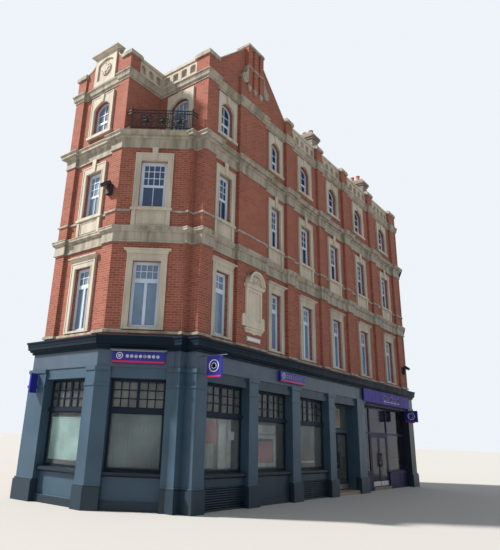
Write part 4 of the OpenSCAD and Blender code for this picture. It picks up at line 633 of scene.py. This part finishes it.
class BuildingSizes(bpy.types.PropertyGroup):
    """Sizes of the fine parts."""

    bar: FloatProperty(
        name="Glazing bar", description="Width of the white glazing bars", default=0.024, min=0.015, max=0.04,
        unit="LENGTH",
    )
    shop_bar: FloatProperty(
        name="Shop glazing bar", description="Width of the bars in the shop toplights", default=0.03,
        min=0.02, max=0.05, unit="LENGTH",
    )
    sash: FloatProperty(
        name="Sash member", description="Width of the sash stiles and rails", default=0.042,
        min=0.03, max=0.06, unit="LENGTH",
    )
    key_light: FloatProperty(
        name="Key light", description="Strength of the soft key light", default=6.8, min=0, max=12
    )
    fill_light: FloatProperty(
        name="Fill light", description="Strength of the light from all around", default=0.55, min=0, max=2
    )


class BUILDING_OT_finishes(bpy.types.Operator):
    """Give every part of the frame its finish."""

    bl_idname = "building.finishes"
    bl_label = "Dress the frame"

    def execute(self, context):
        for finish, nodes in NODE_FINISH.items():
            for node in nodes:
                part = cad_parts[node]
                part.data.materials.clear()
                part.data.materials.append(finish_of(finish))
        missed = set(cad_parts) - {n for nodes in NODE_FINISH.values() for n in nodes}
        if missed:
            raise ValueError(f"no finish for {sorted(missed)}")
        return {"FINISHED"}


class BUILDING_OT_first_floor_bars(bpy.types.Operator):
    """Make the glazing bars and sashes of the first-floor windows."""

    bl_idname = "building.first_floor_bars"
    bl_label = "First-floor glazing bars"

    def execute(self, context):
        sizes = context.scene.building_sizes
        bm = bmesh.new()
        low, high = FIRST[0] + FRAME_W, FIRST[1] - FRAME_W
        transom = FIRST[0] + 1.4
        toplight = transom + 0.08
        mullion = 0.018
        for place, width, panes in window_places():
            half = width / 2 - FRAME_W
            add_ring(bm, place, -half, half, toplight, high, *SASH, sizes.sash * 0.7)
            add_lights_grid(bm, place, -half, half, toplight + 0.02, high, *BAR, panes, 2, sizes.bar)
            if panes > 2:
                add_box(bm, place, -mullion, mullion, FRAME_BACK, SASH[1], low, transom)
                for x0, x1 in ((-half, -mullion), (mullion, half)):
                    add_ring(bm, place, x0, x1, low, transom, *SASH, sizes.sash * 0.6)
            else:
                add_ring(bm, place, -half, half, low, transom, *SASH, sizes.sash * 0.8)
        finish_piece(bm, "first_floor_glazing_bars", "white")
        return {"FINISHED"}


class BUILDING_OT_second_floor_bars(bpy.types.Operator):
    """Make the glazing bars and sashes of the second-floor windows."""

    bl_idname = "building.second_floor_bars"
    bl_label = "Second-floor glazing bars"

    def execute(self, context):
        sizes = context.scene.building_sizes
        bm = bmesh.new()
        low, high = SECOND[0] + FRAME_W, SECOND[1] - FRAME_W
        rail = SECOND[0] + 0.78
        meeting = rail + 0.04
        for i, (place, width, _) in enumerate(window_places()):
            half = width / 2 - FRAME_W
            panes = 4 if i == SPLAY_PLACE else 3
            add_ring(bm, place, -half, half, meeting, high, *UPPER_SASH, sizes.sash)
            add_lights_grid(bm, place, -half, half, meeting + 0.04, high, *BAR, panes, 3, sizes.bar)
            add_ring(bm, place, -half, half, low, meeting, *SASH, sizes.sash)
            add_box(bm, place, -sizes.bar / 2, sizes.bar / 2, *BAR, low, rail)
        finish_piece(bm, "second_floor_glazing_bars", "white")
        return {"FINISHED"}


class BUILDING_OT_third_floor_bars(bpy.types.Operator):
    """Make the glazing bars of the arched top-floor windows and the balcony doorway."""

    bl_idname = "building.third_floor_bars"
    bl_label = "Top-floor glazing bars"

    def execute(self, context):
        bar, sash = context.scene.building_sizes.bar, context.scene.building_sizes.sash
        bm = bmesh.new()
        spring, rise = THIRD[1:]
        low, high = THIRD[0] + FRAME_W, spring + rise - 0.075
        rail = THIRD[0] + 0.47
        meeting, rail_h = rail + 0.04, 0.045
        across = (rail + spring) / 2 + 0.09
        for i, (place, width, _) in enumerate(window_places()):
            if i == SPLAY_PLACE:
                continue
            half = width / 2 - FRAME_W
            add_ring(bm, place, -half, half, low, meeting, *SASH, sash)
            add_box(bm, place, -bar / 2, bar / 2, *BAR, low, high)
            add_box(bm, place, -half, half, *MEETING_RAIL, meeting, meeting + rail_h)
            add_box(bm, place, -half, half, *CROSS_BAR, across - bar / 2, across + bar / 2)
        self.doorway_bars(bm, bar, (DOORWAY_FOOT + 0.5, rail + 0.42))
        finish_piece(bm, "top_floor_glazing_bars", "white")
        return {"FINISHED"}

    def doorway_bars(self, bm, bar, heights):
        """Bars of the balcony doorway, the middle upright wider than the others."""
        half = DOORWAY_W / 2 - FRAME_W
        panes = 4
        foot, head = DOORWAY_FOOT + 0.06, THIRD[1] + 0.1
        for i in range(1, panes):
            x = -half + 2 * half * i / panes
            member = bar * (1.6 if 2 * i == panes else 1)
            add_box(bm, ON_DOORWAY, x - member / 2, x + member / 2, *BAR, foot, head)
        for z in heights:
            add_box(bm, ON_DOORWAY, -half, half, *CROSS_BAR, z - bar / 2, z + bar / 2)


class BUILDING_OT_surround_mouldings(bpy.types.Operator):
    """Make the raised bands, beads and panels on the stone window surrounds."""

    bl_idname = "building.surround_mouldings"
    bl_label = "Surround mouldings"

    def execute(self, context):
        bm = bmesh.new()
        face, lap = -0.06, 0.03
        band, bead = (face - 0.014, face + 0.002), (face - 0.01, face + 0.002)
        apron_panel = (8.1, SECOND[0] - 0.14, face + 0.006, face + 0.022)
        surrounds = ((FIRST, 4.8, 7.105), (SECOND, SECOND[0], 10.58))
        third_top = 13.42
        for i, (place, width, _) in enumerate(window_places()):
            outer = width / 2 + ARCHITRAVE
            inner = width / 2 + lap
            for (sill, head), foot, top in surrounds:
                add_ring(bm, place, -outer, outer, foot, top, *band, 0.045)
                add_ring(bm, place, -inner, inner, sill - lap, head + lap, *bead, 0.028)
            half = outer - 0.17
            add_ring(bm, place, -half, half, *apron_panel, 0.03)
            if i != SPLAY_PLACE:
                add_ring(bm, place, -outer, outer, THIRD[0], third_top, *band, 0.04)
                self.arch_bead(bm, place, width, THIRD[0], face)
        self.arch_bead(bm, ON_DOORWAY, DOORWAY_W, DOORWAY_FOOT, face)
        finish_piece(bm, "surround_mouldings", "stone")
        return {"FINISHED"}

    def arch_bead(self, bm, place, width, foot, face):
        """Bead round an arched opening."""
        thick = 0.016
        spring, rise = THIRD[1:]
        radius = (width * width / 4 + rise * rise) / (2 * rise)
        half_turn = math.degrees(math.asin(width / 2 / radius))
        centre = (0, face, spring + rise - radius)
        add_hoop(bm, place, centre, radius + 0.02, 90 - half_turn, 2 * half_turn, thick)
        for side in (-1, 1):
            x = side * (width / 2 + 0.018)
            add_rod(bm, place, (x, face, foot), (x, face, spring), thick, 6)


class BUILDING_OT_shop_bars(bpy.types.Operator):
    """Make the bars of the shopfront toplights."""

    bl_idname = "building.shop_bars"
    bl_label = "Shop toplight bars"

    def execute(self, context):
        sizes = context.scene.building_sizes
        bm = bmesh.new()
        low, high = 2.62, 3.325
        front, back = 0.102, 0.128
        stile, half_mullion = 0.075, 0.0375
        bays = (
            (ON_LONG, 0.3, 2.392), (ON_LONG, 2.893, 5.017), (ON_LONG, 5.542, 7.782), (ON_SPLAY, 0.36, 1.93),
            (ON_LEFT, 0.64, LEFT_RUN - 0.34),
        )
        for place, left, right in bays:
            middle = (left + right) / 2
            for x0, x1 in ((left + stile, middle - half_mullion), (middle + half_mullion, right - stile)):
                add_lights_grid(bm, place, x0, x1, low, high, front, back, 3, 3, sizes.shop_bar)
        finish_piece(bm, "shop_toplight_bars", "navy")
        return {"FINISHED"}


class BUILDING_OT_sign_faces(bpy.types.Operator):
    """Make the plain stripes and marks on the sign panels."""

    bl_idname = "building.sign_faces"
    bl_label = "Sign faces"

    def execute(self, context):
        red = bmesh.new()
        white = bmesh.new()
        self.flat_signs(red, white)
        self.projecting_signs(red, white)
        finish_piece(red, "sign_red_strips", "sign_red")
        finish_piece(white, "sign_white_marks", "sign_white")
        self.purple_board()
        self.street_plate()
        return {"FINISHED"}

    def flat_signs(self, red, white):
        """Red strip, ring and row of marks on each sign over the cornice."""
        face, foot, marks = -0.272, 3.8, 8
        for place, left, right in ((ON_SPLAY, 0.381, 1.862), (ON_LONG, 4.135, 5.79)):
            strip = (face - 0.004, face + 0.004, foot + 0.012, foot + 0.062)
            add_box(red, place, left + 0.01, right - 0.01, *strip)
            badge = (left + 0.2, face, foot + 0.2)
            add_hoop(white, place, badge, 0.085, 0, 360, 0.011)
            add_star(white, place, badge, 0.034)
            for i in range(marks):
                x = left + 0.42 + i * (right - left - 0.62) / (marks - 1)
                add_star(white, place, (x, face, foot + 0.19), 0.036)

    def projecting_signs(self, red, white):
        """Red strip, ring and mark on both sides of each sign that stands out from the wall."""
        for along, y, z, w, h in ((0.06, -0.6275, 3.46, 0.505, 0.6), (16.08, -0.55, 3.0, 0.6, 0.52)):
            blade = ON_LONG @ Matrix.Translation((along, 0, 0))
            for side in (-1, 1):
                face = blade @ Matrix.Rotation(side * math.pi / 2, 4, "Z")
                at = side * y
                badge = (at, -0.038, z + h * 0.54)
                add_box(red, face, at - w / 2 + 0.01, at + w / 2 - 0.01, -0.04, -0.034, z + 0.02, z + 0.06)
                add_hoop(white, face, badge, 0.16, 0, 360, 0.013)
                add_star(white, face, badge, 0.065)

    def purple_board(self):
        """Row of marks on the purple board, with a short line under each."""
        pale = bmesh.new()
        face, pitch = -0.266, 0.42
        for i in range(5):
            x = 13.45 + i * pitch
            add_star(pale, ON_LONG, (x, face, 3.95), 0.06 if i % 2 else 0.09)
            add_box(pale, ON_LONG, x - 0.15, x + 0.15, face - 0.003, face + 0.003, 3.78, 3.81)
        finish_piece(pale, "purple_board_marks", "lilac")

    def street_plate(self):
        """Blank plate over the cornice, with its border and two screws."""
        plate = bmesh.new()
        edge = bmesh.new()
        at = ON_LONG @ Matrix.Translation((2.863, 0, 4.995))
        add_box(plate, at, -0.385, 0.385, -0.026, -0.018, -0.069, 0.069)
        add_ring(edge, at, -0.37, 0.37, -0.059, 0.059, -0.028, -0.024, 0.008)
        for x in (-0.345, 0.345):
            add_ball(edge, at, (x, -0.026, 0), 0.008)
        finish_piece(plate, "street_plate_face", "sign_white")
        finish_piece(edge, "street_plate_border", "navy")


class BUILDING_OT_railing_scrolls(bpy.types.Operator):
    """Make the scrollwork panels of the balcony railing."""

    bl_idname = "building.railing_scrolls"
    bl_label = "Railing scrolls"

    def execute(self, context):
        bm = bmesh.new()
        for middle in (0.73, 1.27, 1.826):
            self.scroll_panel(bm, ON_SPLAY @ Matrix.Translation((middle, -0.1, BALCONY_FLOOR + 0.35)))
        finish_piece(bm, "railing_scrolls", "iron", smooth=True)
        return {"FINISHED"}

    def scroll_panel(self, bm, place):
        """Boss in a ring, four curls round it, two side rings, and two rods with knops."""
        ring = 0.085
        add_hoop(bm, place, (0, 0, 0), ring, 0, 360, 0.017)
        add_ball(bm, place, (0, 0, 0), 0.045)
        add_star(bm, place, (0, 0, 0), 0.07)
        for across in (-1, 1):
            for up in (-1, 1):
                start = math.degrees(math.atan2(-up, -across))
                curl = (across * 0.12, 0, up * 0.14)
                add_hoop(bm, place, curl, 0.062, start, 290 * across * up, 0.016)
            add_hoop(bm, place, (across * 0.19, 0, 0), 0.05, 0, 360, 0.014)
        for up in (-1, 1):
            add_rod(bm, place, (0, 0, up * ring), (0, 0, up * 0.235), 0.014)
            add_ball(bm, place, (0, 0, up * 0.16), 0.03)


# Boards and cards behind the glass of the long face, each as its x, y and z spans
PALE_BOARDS = (
    (1.45, 1.75, 0.24, 0.26, 1.06, 2.3), (1.9, 2.2, 0.22, 0.23, 1.86, 2.1),
    (3.0, 4.5, 0.19, 0.21, 2.08, 2.36), (5.9, 6.3, 0.22, 0.23, 1.45, 1.95),
    (6.2, 7.3, 0.24, 0.4, 1.18, 1.24),
)
ROSE_CARDS = (
    (0.42, 1.3, 0.19, 0.2, 1.75, 2.36), (3.6, 4.42, 0.25, 0.26, 1.22, 1.86),
    (5.97, 6.03, 0.216, 0.221, 1.5, 1.9), (6.13, 6.19, 0.216, 0.221, 1.5, 1.9),
)
DARK_CARDS = ((3.42, 4.4, 0.262, 0.275, 1.2, 1.94),)
TOPLIGHT_CARDS = (
    (8.61, 9.84, 0.385, 0.395, 2.56, 3.19), (8.83, 8.97, 0.38, 0.386, 2.7, 3.0),
    (9.43, 9.57, 0.38, 0.386, 2.7, 3.0),
)

# Square frames round a board and round the entrance toplight: x, z and y spans, and width of member
BOARD_FRAMES = ((3.25, 4.6, 1.08, 2.06, 0.24, 0.27, 0.12), (8.55, 9.9, 2.5, 3.25, 0.38, 0.4, 0.06))


def board_piece(name, finish, boards, frames=()):
    """One piece of boards and square frames behind the glass of the long face."""
    bm = bmesh.new()
    for board in boards:
        add_box(bm, ON_LONG, *board)
    for square in frames:
        add_ring(bm, ON_LONG, *square)
    finish_piece(bm, name, finish)


class BUILDING_OT_shop_dressing(bpy.types.Operator):
    """Hang the blind and net curtains and set the plain display boards behind the shop glass."""

    bl_idname = "building.shop_dressing"
    bl_label = "Shop window dressing"

    def execute(self, context):
        self.left_blind()
        sill, transom = 1.06, 2.44
        hang_net("splay_net_curtain", "net", ON_SPLAY, 0.46, 1.83, 0.23, sill, transom, 13, 0.007)
        hang_net("splay_toplight_net", "warm_net", ON_SPLAY, 0.46, 1.83, 0.25, 2.64, 3.3, 9, 0.012)
        hang_net("long_net_curtain", "blind", ON_LONG, 0.4, 2.3, 0.42, sill, transom, 14, 0.02)
        board_piece("window_boards", "blind", PALE_BOARDS, BOARD_FRAMES)
        board_piece("window_rose_cards", "rose", ROSE_CARDS)
        board_piece("window_dark_cards", "navy", DARK_CARDS)
        board_piece("entrance_toplight_card", "amber", TOPLIGHT_CARDS)
        board_piece("side_shop_cards", "cool_card", self.side_shop_cards())
        board_piece("side_shop_shelves", "steel", self.side_shop_shelves())
        return {"FINISHED"}

    def left_blind(self):
        """Roller blind of the left window, part way down, with its roller and its foot bar."""
        bm = bmesh.new()
        left, right, foot, top = 0.73, 2.44, 1.16, 2.3
        add_box(bm, ON_LEFT, left, right, 0.185, 0.188, foot, top)
        add_rod(bm, ON_LEFT, (left, 0.19, top), (right, 0.19, top), 0.03)
        add_rod(bm, ON_LEFT, (left, 0.187, foot), (right, 0.187, foot), 0.012)
        finish_piece(bm, "left_window_blind", "mint_blind")

    def side_shop_cards(self):
        """A long card over the doors, and a row of cards at three heights that leaves the doorway free."""
        cards = [(12.45, 14.2, 0.16, 0.17, 3.05, 3.3)]
        for i in range(14):
            x = 11.4 + i * 0.37
            step = i % 3
            if not 12.3 < x < 14.35:
                cards.append((x, x + 0.22, 0.3, 0.42, 0.95 + 0.25 * step, 1.15 + 0.3 * step))
        return cards

    def side_shop_shelves(self):
        """Three shelves and two posts in each window of the side shop."""
        boards = []
        thick = 0.03
        for left, right in ((11.3, 12.25), (14.4, 16.5)):
            boards += [(left, right, 0.28, 0.5, z - thick, z) for z in (0.95, 1.25, 1.6)]
            boards += [(x, x + thick, 0.48, 0.5, 0.15, 1.9) for x in (left, right - thick)]
        return boards


class BUILDING_OT_door_furniture(bpy.types.Operator):
    """Make the kick plates and locks of the street doors."""

    bl_idname = "building.door_furniture"
    bl_label = "Door furniture"

    def execute(self, context):
        for shop, front in (("bank", 0.3), ("side", 0.1)):
            for hand in ("left", "right"):
                self.leaf_fittings(f"{shop}_{hand}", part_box(f"{shop}_door_{hand}"), front, hand)
        return {"FINISHED"}

    def leaf_fittings(self, leaf, door, front, hand):
        """Kick plate on each side of a leaf, their screws, and two locks at the meeting edge."""
        bm = bmesh.new()
        foot, top, back = 0.165, 0.35, front + 0.045
        x0, x1 = (corner[0] - LONG_X for corner in door)
        for y0, y1 in ((front - 0.003, front + 0.001), (back - 0.001, back + 0.003)):
            add_box(bm, ON_LONG, x0 + 0.02, x1 - 0.02, y0, y1, foot, top)
        lock = x1 - 0.03 if hand == "left" else x0 + 0.03
        for z, radius in ((1.12, 0.018), (0.9, 0.014)):
            add_rod(bm, ON_LONG, (lock, front - 0.008, z), (lock, front + 0.002, z), radius, 12)
        for x in (x0 + 0.045, x1 - 0.045):
            for z in (foot + 0.02, top - 0.02):
                add_ball(bm, ON_LONG, (x, front - 0.003, z), 0.005, 6)
        finish_piece(bm, f"{leaf}_plates", "steel", f"{leaf}_leaf")


class BUILDING_OT_rear_windows(bpy.types.Operator):
    """Make the sashes, brick heads and stone sills of the rear windows."""

    bl_idname = "building.rear_windows"
    bl_label = "Rear windows"

    def execute(self, context):
        sizes = context.scene.building_sizes
        bars, heads, sills = bmesh.new(), bmesh.new(), bmesh.new()
        floors = ((FIRST[0] + 0.3, 6.6), (SECOND[0], 10.0), THIRD[:2])
        for middle, width, _ in LONG_WINDOWS[1:]:
            place = turned(LONG_X + middle, REAR_Y, math.pi)
            for low, high in floors:
                self.sashes(bars, place, width / 2 - FRAME_W, low, high, sizes)
                self.brick_head(heads, place, width, high)
                for wider, front, z0, z1 in ((0.06, -0.035, 0.075, 0.004), (0.05, -0.02, 0.085, 0.075)):
                    half = width / 2 + wider
                    add_box(sills, place, -half, half, front, 0.1, low - z0, low - z1)
        finish_piece(bars, "rear_glazing_bars", "white")
        finish_piece(heads, "rear_brick_heads", "head_brick")
        finish_piece(sills, "rear_window_sills", "stone")
        return {"FINISHED"}

    def sashes(self, bm, place, half, low, high, sizes):
        """Lower and upper sash, and the bar that halves them."""
        rail = (low + high) / 2
        foot, head = low + FRAME_W, high - FRAME_W
        add_ring(bm, place, -half, half, foot, rail, *SASH, sizes.sash)
        add_ring(bm, place, -half, half, rail + 0.08, head, *SASH, sizes.sash * 0.7)
        add_lights_grid(bm, place, -half, half, foot, head, *BAR, 2, 1, sizes.bar)

    def brick_head(self, bm, place, width, foot):
        """Flat arch of upright bricks that lean away from the middle."""
        brick_w, pitch, lean = 0.075, 0.077, 0.28
        count = int(width / brick_w) + 3
        for i in range(count):
            x = (i - (count - 1) / 2) * pitch
            brick = place @ Matrix.Translation((x, 0, foot)) @ Matrix.Rotation(x * lean, 4, "Y")
            add_box(bm, brick, -0.034, 0.034, -0.006, 0.1, 0.0, 0.225)


class BUILDING_OT_roof_trim(bpy.types.Operator):
    """Make the ridge and hip tiles, the lead aprons and the mortar round the chimney pots."""

    bl_idname = "building.roof_trim"
    bl_label = "Roof trim"

    def execute(self, context):
        low, high = (Vector(c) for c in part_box("slate_roof"))
        self.ridge_tiles(low, high)
        self.chimney_trim(low, high)
        return {"FINISHED"}

    def ridge_tiles(self, low, high):
        """Round-backed tiles end to end along the ridge and the four hips."""
        half, middle = (high.y - low.y) / 2, (high.y + low.y) / 2
        ends = [Vector((x, middle, high.z)) for x in (low.x + half, high.x - half)]
        runs = [tuple(ends)]
        for x, top in zip((low.x, high.x), ends):
            runs += [(Vector((x, y, low.z)), top) for y in (low.y, high.y)]
        bm = bmesh.new()
        in_place = Matrix.Identity(4)
        tile, filled = 0.45, 0.985
        for a, b in runs:
            count = int((b - a).length / tile)
            for i in range(count):
                add_rod(bm, in_place, a.lerp(b, i / count), a.lerp(b, (i + filled) / count), 0.075, 10)
        finish_piece(bm, "ridge_and_hip_tiles", "clay", smooth=True)

    def chimney_trim(self, low, high):
        """Lead where each chimney passes the roof, and mortar round the foot of its pots."""
        stack_low, stack_high = (Vector(c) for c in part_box("chimneys"))
        lead, mortar = bmesh.new(), bmesh.new()
        foot, depth, lap, pot_pitch = stack_low.y + 0.1, 1.15, 0.02, 0.35
        back = foot + depth
        half = (high.y - low.y) / 2
        rise = min(1.25 * (back - low.y) / half, 0.9)
        for from_party, pots in ((7.38, 3), (1.09, 2)):
            x = PARTY_X - from_party
            upright = Matrix.Translation((x, back, low.z)) @ Matrix.Rotation(math.pi / 2, 4, "X")
            add_ring(lead, upright, -0.33, 0.33, -lap, depth + lap, -0.03, rise, 0.022)
            for k in range(pots):
                y = foot + depth / 2 + (k - (pots - 1) / 2) * pot_pitch
                bmesh.ops.create_cone(
                    mortar, cap_ends=True, segments=16, radius1=0.17, radius2=0.13, depth=0.05,
                    matrix=Matrix.Translation((x, y, stack_high.z - 0.305)),
                )
        finish_piece(lead, "chimney_lead_aprons", "lead")
        finish_piece(mortar, "pot_mortar", "sooty_stone")


class BUILDING_OT_lamp_details(bpy.types.Operator):
    """Make the dark casings, fins and lenses of the floodlights and the tube of the trough lamp."""

    bl_idname = "building.lamp_details"
    bl_label = "Lamp details"

    def execute(self, context):
        iron, lens = bmesh.new(), bmesh.new()
        on_left = turned(CORNER_X, CORNER_Y + 0.33, -math.pi / 2) @ Matrix.Translation((0, 0, 9.35))
        at_party_end = ON_LONG @ Matrix.Translation((LONG_RUN - 0.57, 0, 5.65))
        for lamp in (on_left, at_party_end):
            self.wall_box(iron, lamp)
            self.floodlight(iron, lens, lamp)
        add_rod(lens, ON_SPLAY, (0.36, -0.33, 4.135), (1.88, -0.33, 4.135), 0.012)
        finish_piece(iron, "floodlight_fins", "iron")
        finish_piece(lens, "lamp_lenses", "lens")
        return {"FINISHED"}

    def wall_box(self, bm, lamp):
        """Box on the wall with its lid, and the tube towards the arm."""
        add_box(bm, lamp, -0.1, 0.1, -0.13, 0.0, -0.21, 0.15)
        add_box(bm, lamp, -0.085, 0.085, -0.145, -0.13, -0.19, 0.13)
        add_rod(bm, lamp, (0, -0.1, 0.03), (0, -0.2, 0.075), 0.022, 10)

    def floodlight(self, iron, lens, lamp):
        """Head at the end of its arm: casing, cooling fins, rim and lens."""
        arm, arm_turn, tilt = 0.26, math.radians(70), math.radians(35)
        reach = (0, -0.02 - arm * math.sin(arm_turn), arm * math.cos(arm_turn))
        head = lamp @ Matrix.Translation(reach) @ Matrix.Rotation(tilt, 4, "X")
        head = head @ Matrix.Translation((-0.11, -0.06, -0.04))
        casing = (-0.03, 0.25, -0.025, 0.215)
        add_box(iron, head, *casing, -0.004, 0.084)
        fin, fin_pitch = 0.008, 0.025
        for i in range(11):
            x = -0.018 + i * fin_pitch
            add_box(iron, head, x, x + fin, -0.01, 0.2, 0.08, 0.108)
        rim = 0.014
        add_ring(iron, head @ Matrix.Rotation(-math.pi / 2, 4, "X"), *casing, -0.002, rim, rim)
        add_box(lens, head, -0.012, 0.232, -0.008, 0.198, -0.01, -0.003)


# The photo's camera: width of the frame, focal length and shift in pixels, turns, and place from the corner
PHOTO_WIDTH = 500
FOCAL_LENGTH = 529
SHIFT = (40, -15)
YAW, PITCH, ROLL = (math.radians(turn) for turn in (50.9, 18.6, 2.23))
EYE = (CORNER_X - 9.93, CORNER_Y - 11.95, 1.89)


class BUILDING_OT_stage(bpy.types.Operator):
    """Lay the floor and set the lights and the camera."""

    bl_idname = "building.stage"
    bl_label = "Stage"

    def execute(self, context):
        scene = context.scene
        self.lay_floor()
        self.light_room(scene)
        self.set_key_light(scene)
        self.set_camera(scene)
        scene.view_settings.view_transform = "Standard"
        return {"FINISHED"}

    def lay_floor(self):
        """Wide pale floor."""
        bm = bmesh.new()
        bmesh.ops.create_grid(bm, x_segments=1, y_segments=1, size=400.0)
        pale = (0.46, 0.45, 0.43, 1)
        material = new_material("Pale floor", Base_Color=pale, Roughness=0.9, Specular_IOR_Level=0.1)[0]
        mesh_object(bm, "floor", material)

    def light_room(self, scene):
        """Soft light from all around, with a paler room seen by the camera and in glass."""
        world = bpy.data.worlds.new("Soft room")
        scene.world = world
        world.use_nodes = True
        net = Net(world.node_tree)
        light = net.nodes["Background"]
        light.inputs["Color"].default_value = (0.86, 0.92, 1.0, 1)
        light.inputs["Strength"].default_value = scene.building_sizes.fill_light
        seen = net.add("ShaderNodeBackground", {"Color": (0.86, 0.9, 0.95, 1), "Strength": 1.0})
        path = net.add("ShaderNodeLightPath").outputs
        in_glass = net.math("MAXIMUM", path["Is Glossy Ray"], path["Is Transmission Ray"])
        shown = net.math("MAXIMUM", path["Is Camera Ray"], in_glass)
        both = net.add("ShaderNodeMixShader", {0: shown, 1: light.outputs[0], 2: seen.outputs[0]})
        net.links.new(both.outputs[0], net.nodes["World Output"].inputs["Surface"])

    def set_key_light(self, scene):
        """Soft sun from high on the left."""
        key = bpy.data.lights.new("key", "SUN")
        key.energy = scene.building_sizes.key_light
        key.angle = math.radians(5)
        key.color = (1.0, 0.96, 0.9)
        lamp = bpy.data.objects.new("key", key)
        toward = Vector((-0.5, 0.64, 0.7)).normalized()
        lamp.rotation_euler = toward.to_track_quat("Z", "Y").to_euler()
        scene.collection.objects.link(lamp)

    def set_camera(self, scene):
        """Camera where the photo was taken from."""
        camera = bpy.data.cameras.new("camera")
        camera.sensor_fit = "HORIZONTAL"
        camera.sensor_width = 36.0
        camera.lens = camera.sensor_width * FOCAL_LENGTH / PHOTO_WIDTH
        camera.shift_x = SHIFT[0] / PHOTO_WIDTH
        camera.shift_y = SHIFT[1] / PHOTO_WIDTH
        camera.clip_end = 1000
        level_ahead = Vector((math.sin(YAW), math.cos(YAW), 0))
        ahead = math.cos(PITCH) * level_ahead + Vector((0, 0, math.sin(PITCH)))
        across = Vector((math.cos(YAW), -math.sin(YAW), 0))
        over = across.cross(ahead)
        right = math.cos(ROLL) * across + math.sin(ROLL) * over
        up = -math.sin(ROLL) * across + math.cos(ROLL) * over
        view = Matrix((right, up, -ahead)).transposed().to_4x4()
        view.translation = EYE
        eye = bpy.data.objects.new("camera", camera)
        eye.matrix_world = view
        scene.collection.objects.link(eye)
        scene.camera = eye


class BUILDING_PT_panel(bpy.types.Panel):
    """Lists the building's finishes, sizes and parts."""

    bl_idname = "BUILDING_PT_panel"
    bl_label = "Corner building"
    bl_space_type = "VIEW_3D"
    bl_region_type = "UI"
    bl_category = "Building"

    def draw(self, context):
        column = self.layout.column()
        for settings in (context.scene.building_finishes, context.scene.building_sizes):
            for name in settings.__annotations__:
                column.prop(settings, name)
        for operator in OPERATORS:
            column.operator(operator.bl_idname)


OPERATORS = (
    BUILDING_OT_finishes,
    BUILDING_OT_first_floor_bars,
    BUILDING_OT_second_floor_bars,
    BUILDING_OT_third_floor_bars,
    BUILDING_OT_surround_mouldings,
    BUILDING_OT_shop_bars,
    BUILDING_OT_sign_faces,
    BUILDING_OT_railing_scrolls,
    BUILDING_OT_shop_dressing,
    BUILDING_OT_door_furniture,
    BUILDING_OT_rear_windows,
    BUILDING_OT_roof_trim,
    BUILDING_OT_lamp_details,
    BUILDING_OT_stage,
)
CLASSES = (BuildingFinishes, BuildingSizes, *OPERATORS, BUILDING_PT_panel)


def register():
    for item in CLASSES:
        bpy.utils.register_class(item)
    bpy.types.Scene.building_finishes = PointerProperty(type=BuildingFinishes)
    bpy.types.Scene.building_sizes = PointerProperty(type=BuildingSizes)


def unregister():
    del bpy.types.Scene.building_sizes
    del bpy.types.Scene.building_finishes
    for item in reversed(CLASSES):
        bpy.utils.unregister_class(item)


def main():
    register()
    for operator in OPERATORS:
        group, name = operator.bl_idname.split(".")
        getattr(getattr(bpy.ops, group), name)()


if __name__ == "__main__":
    main()
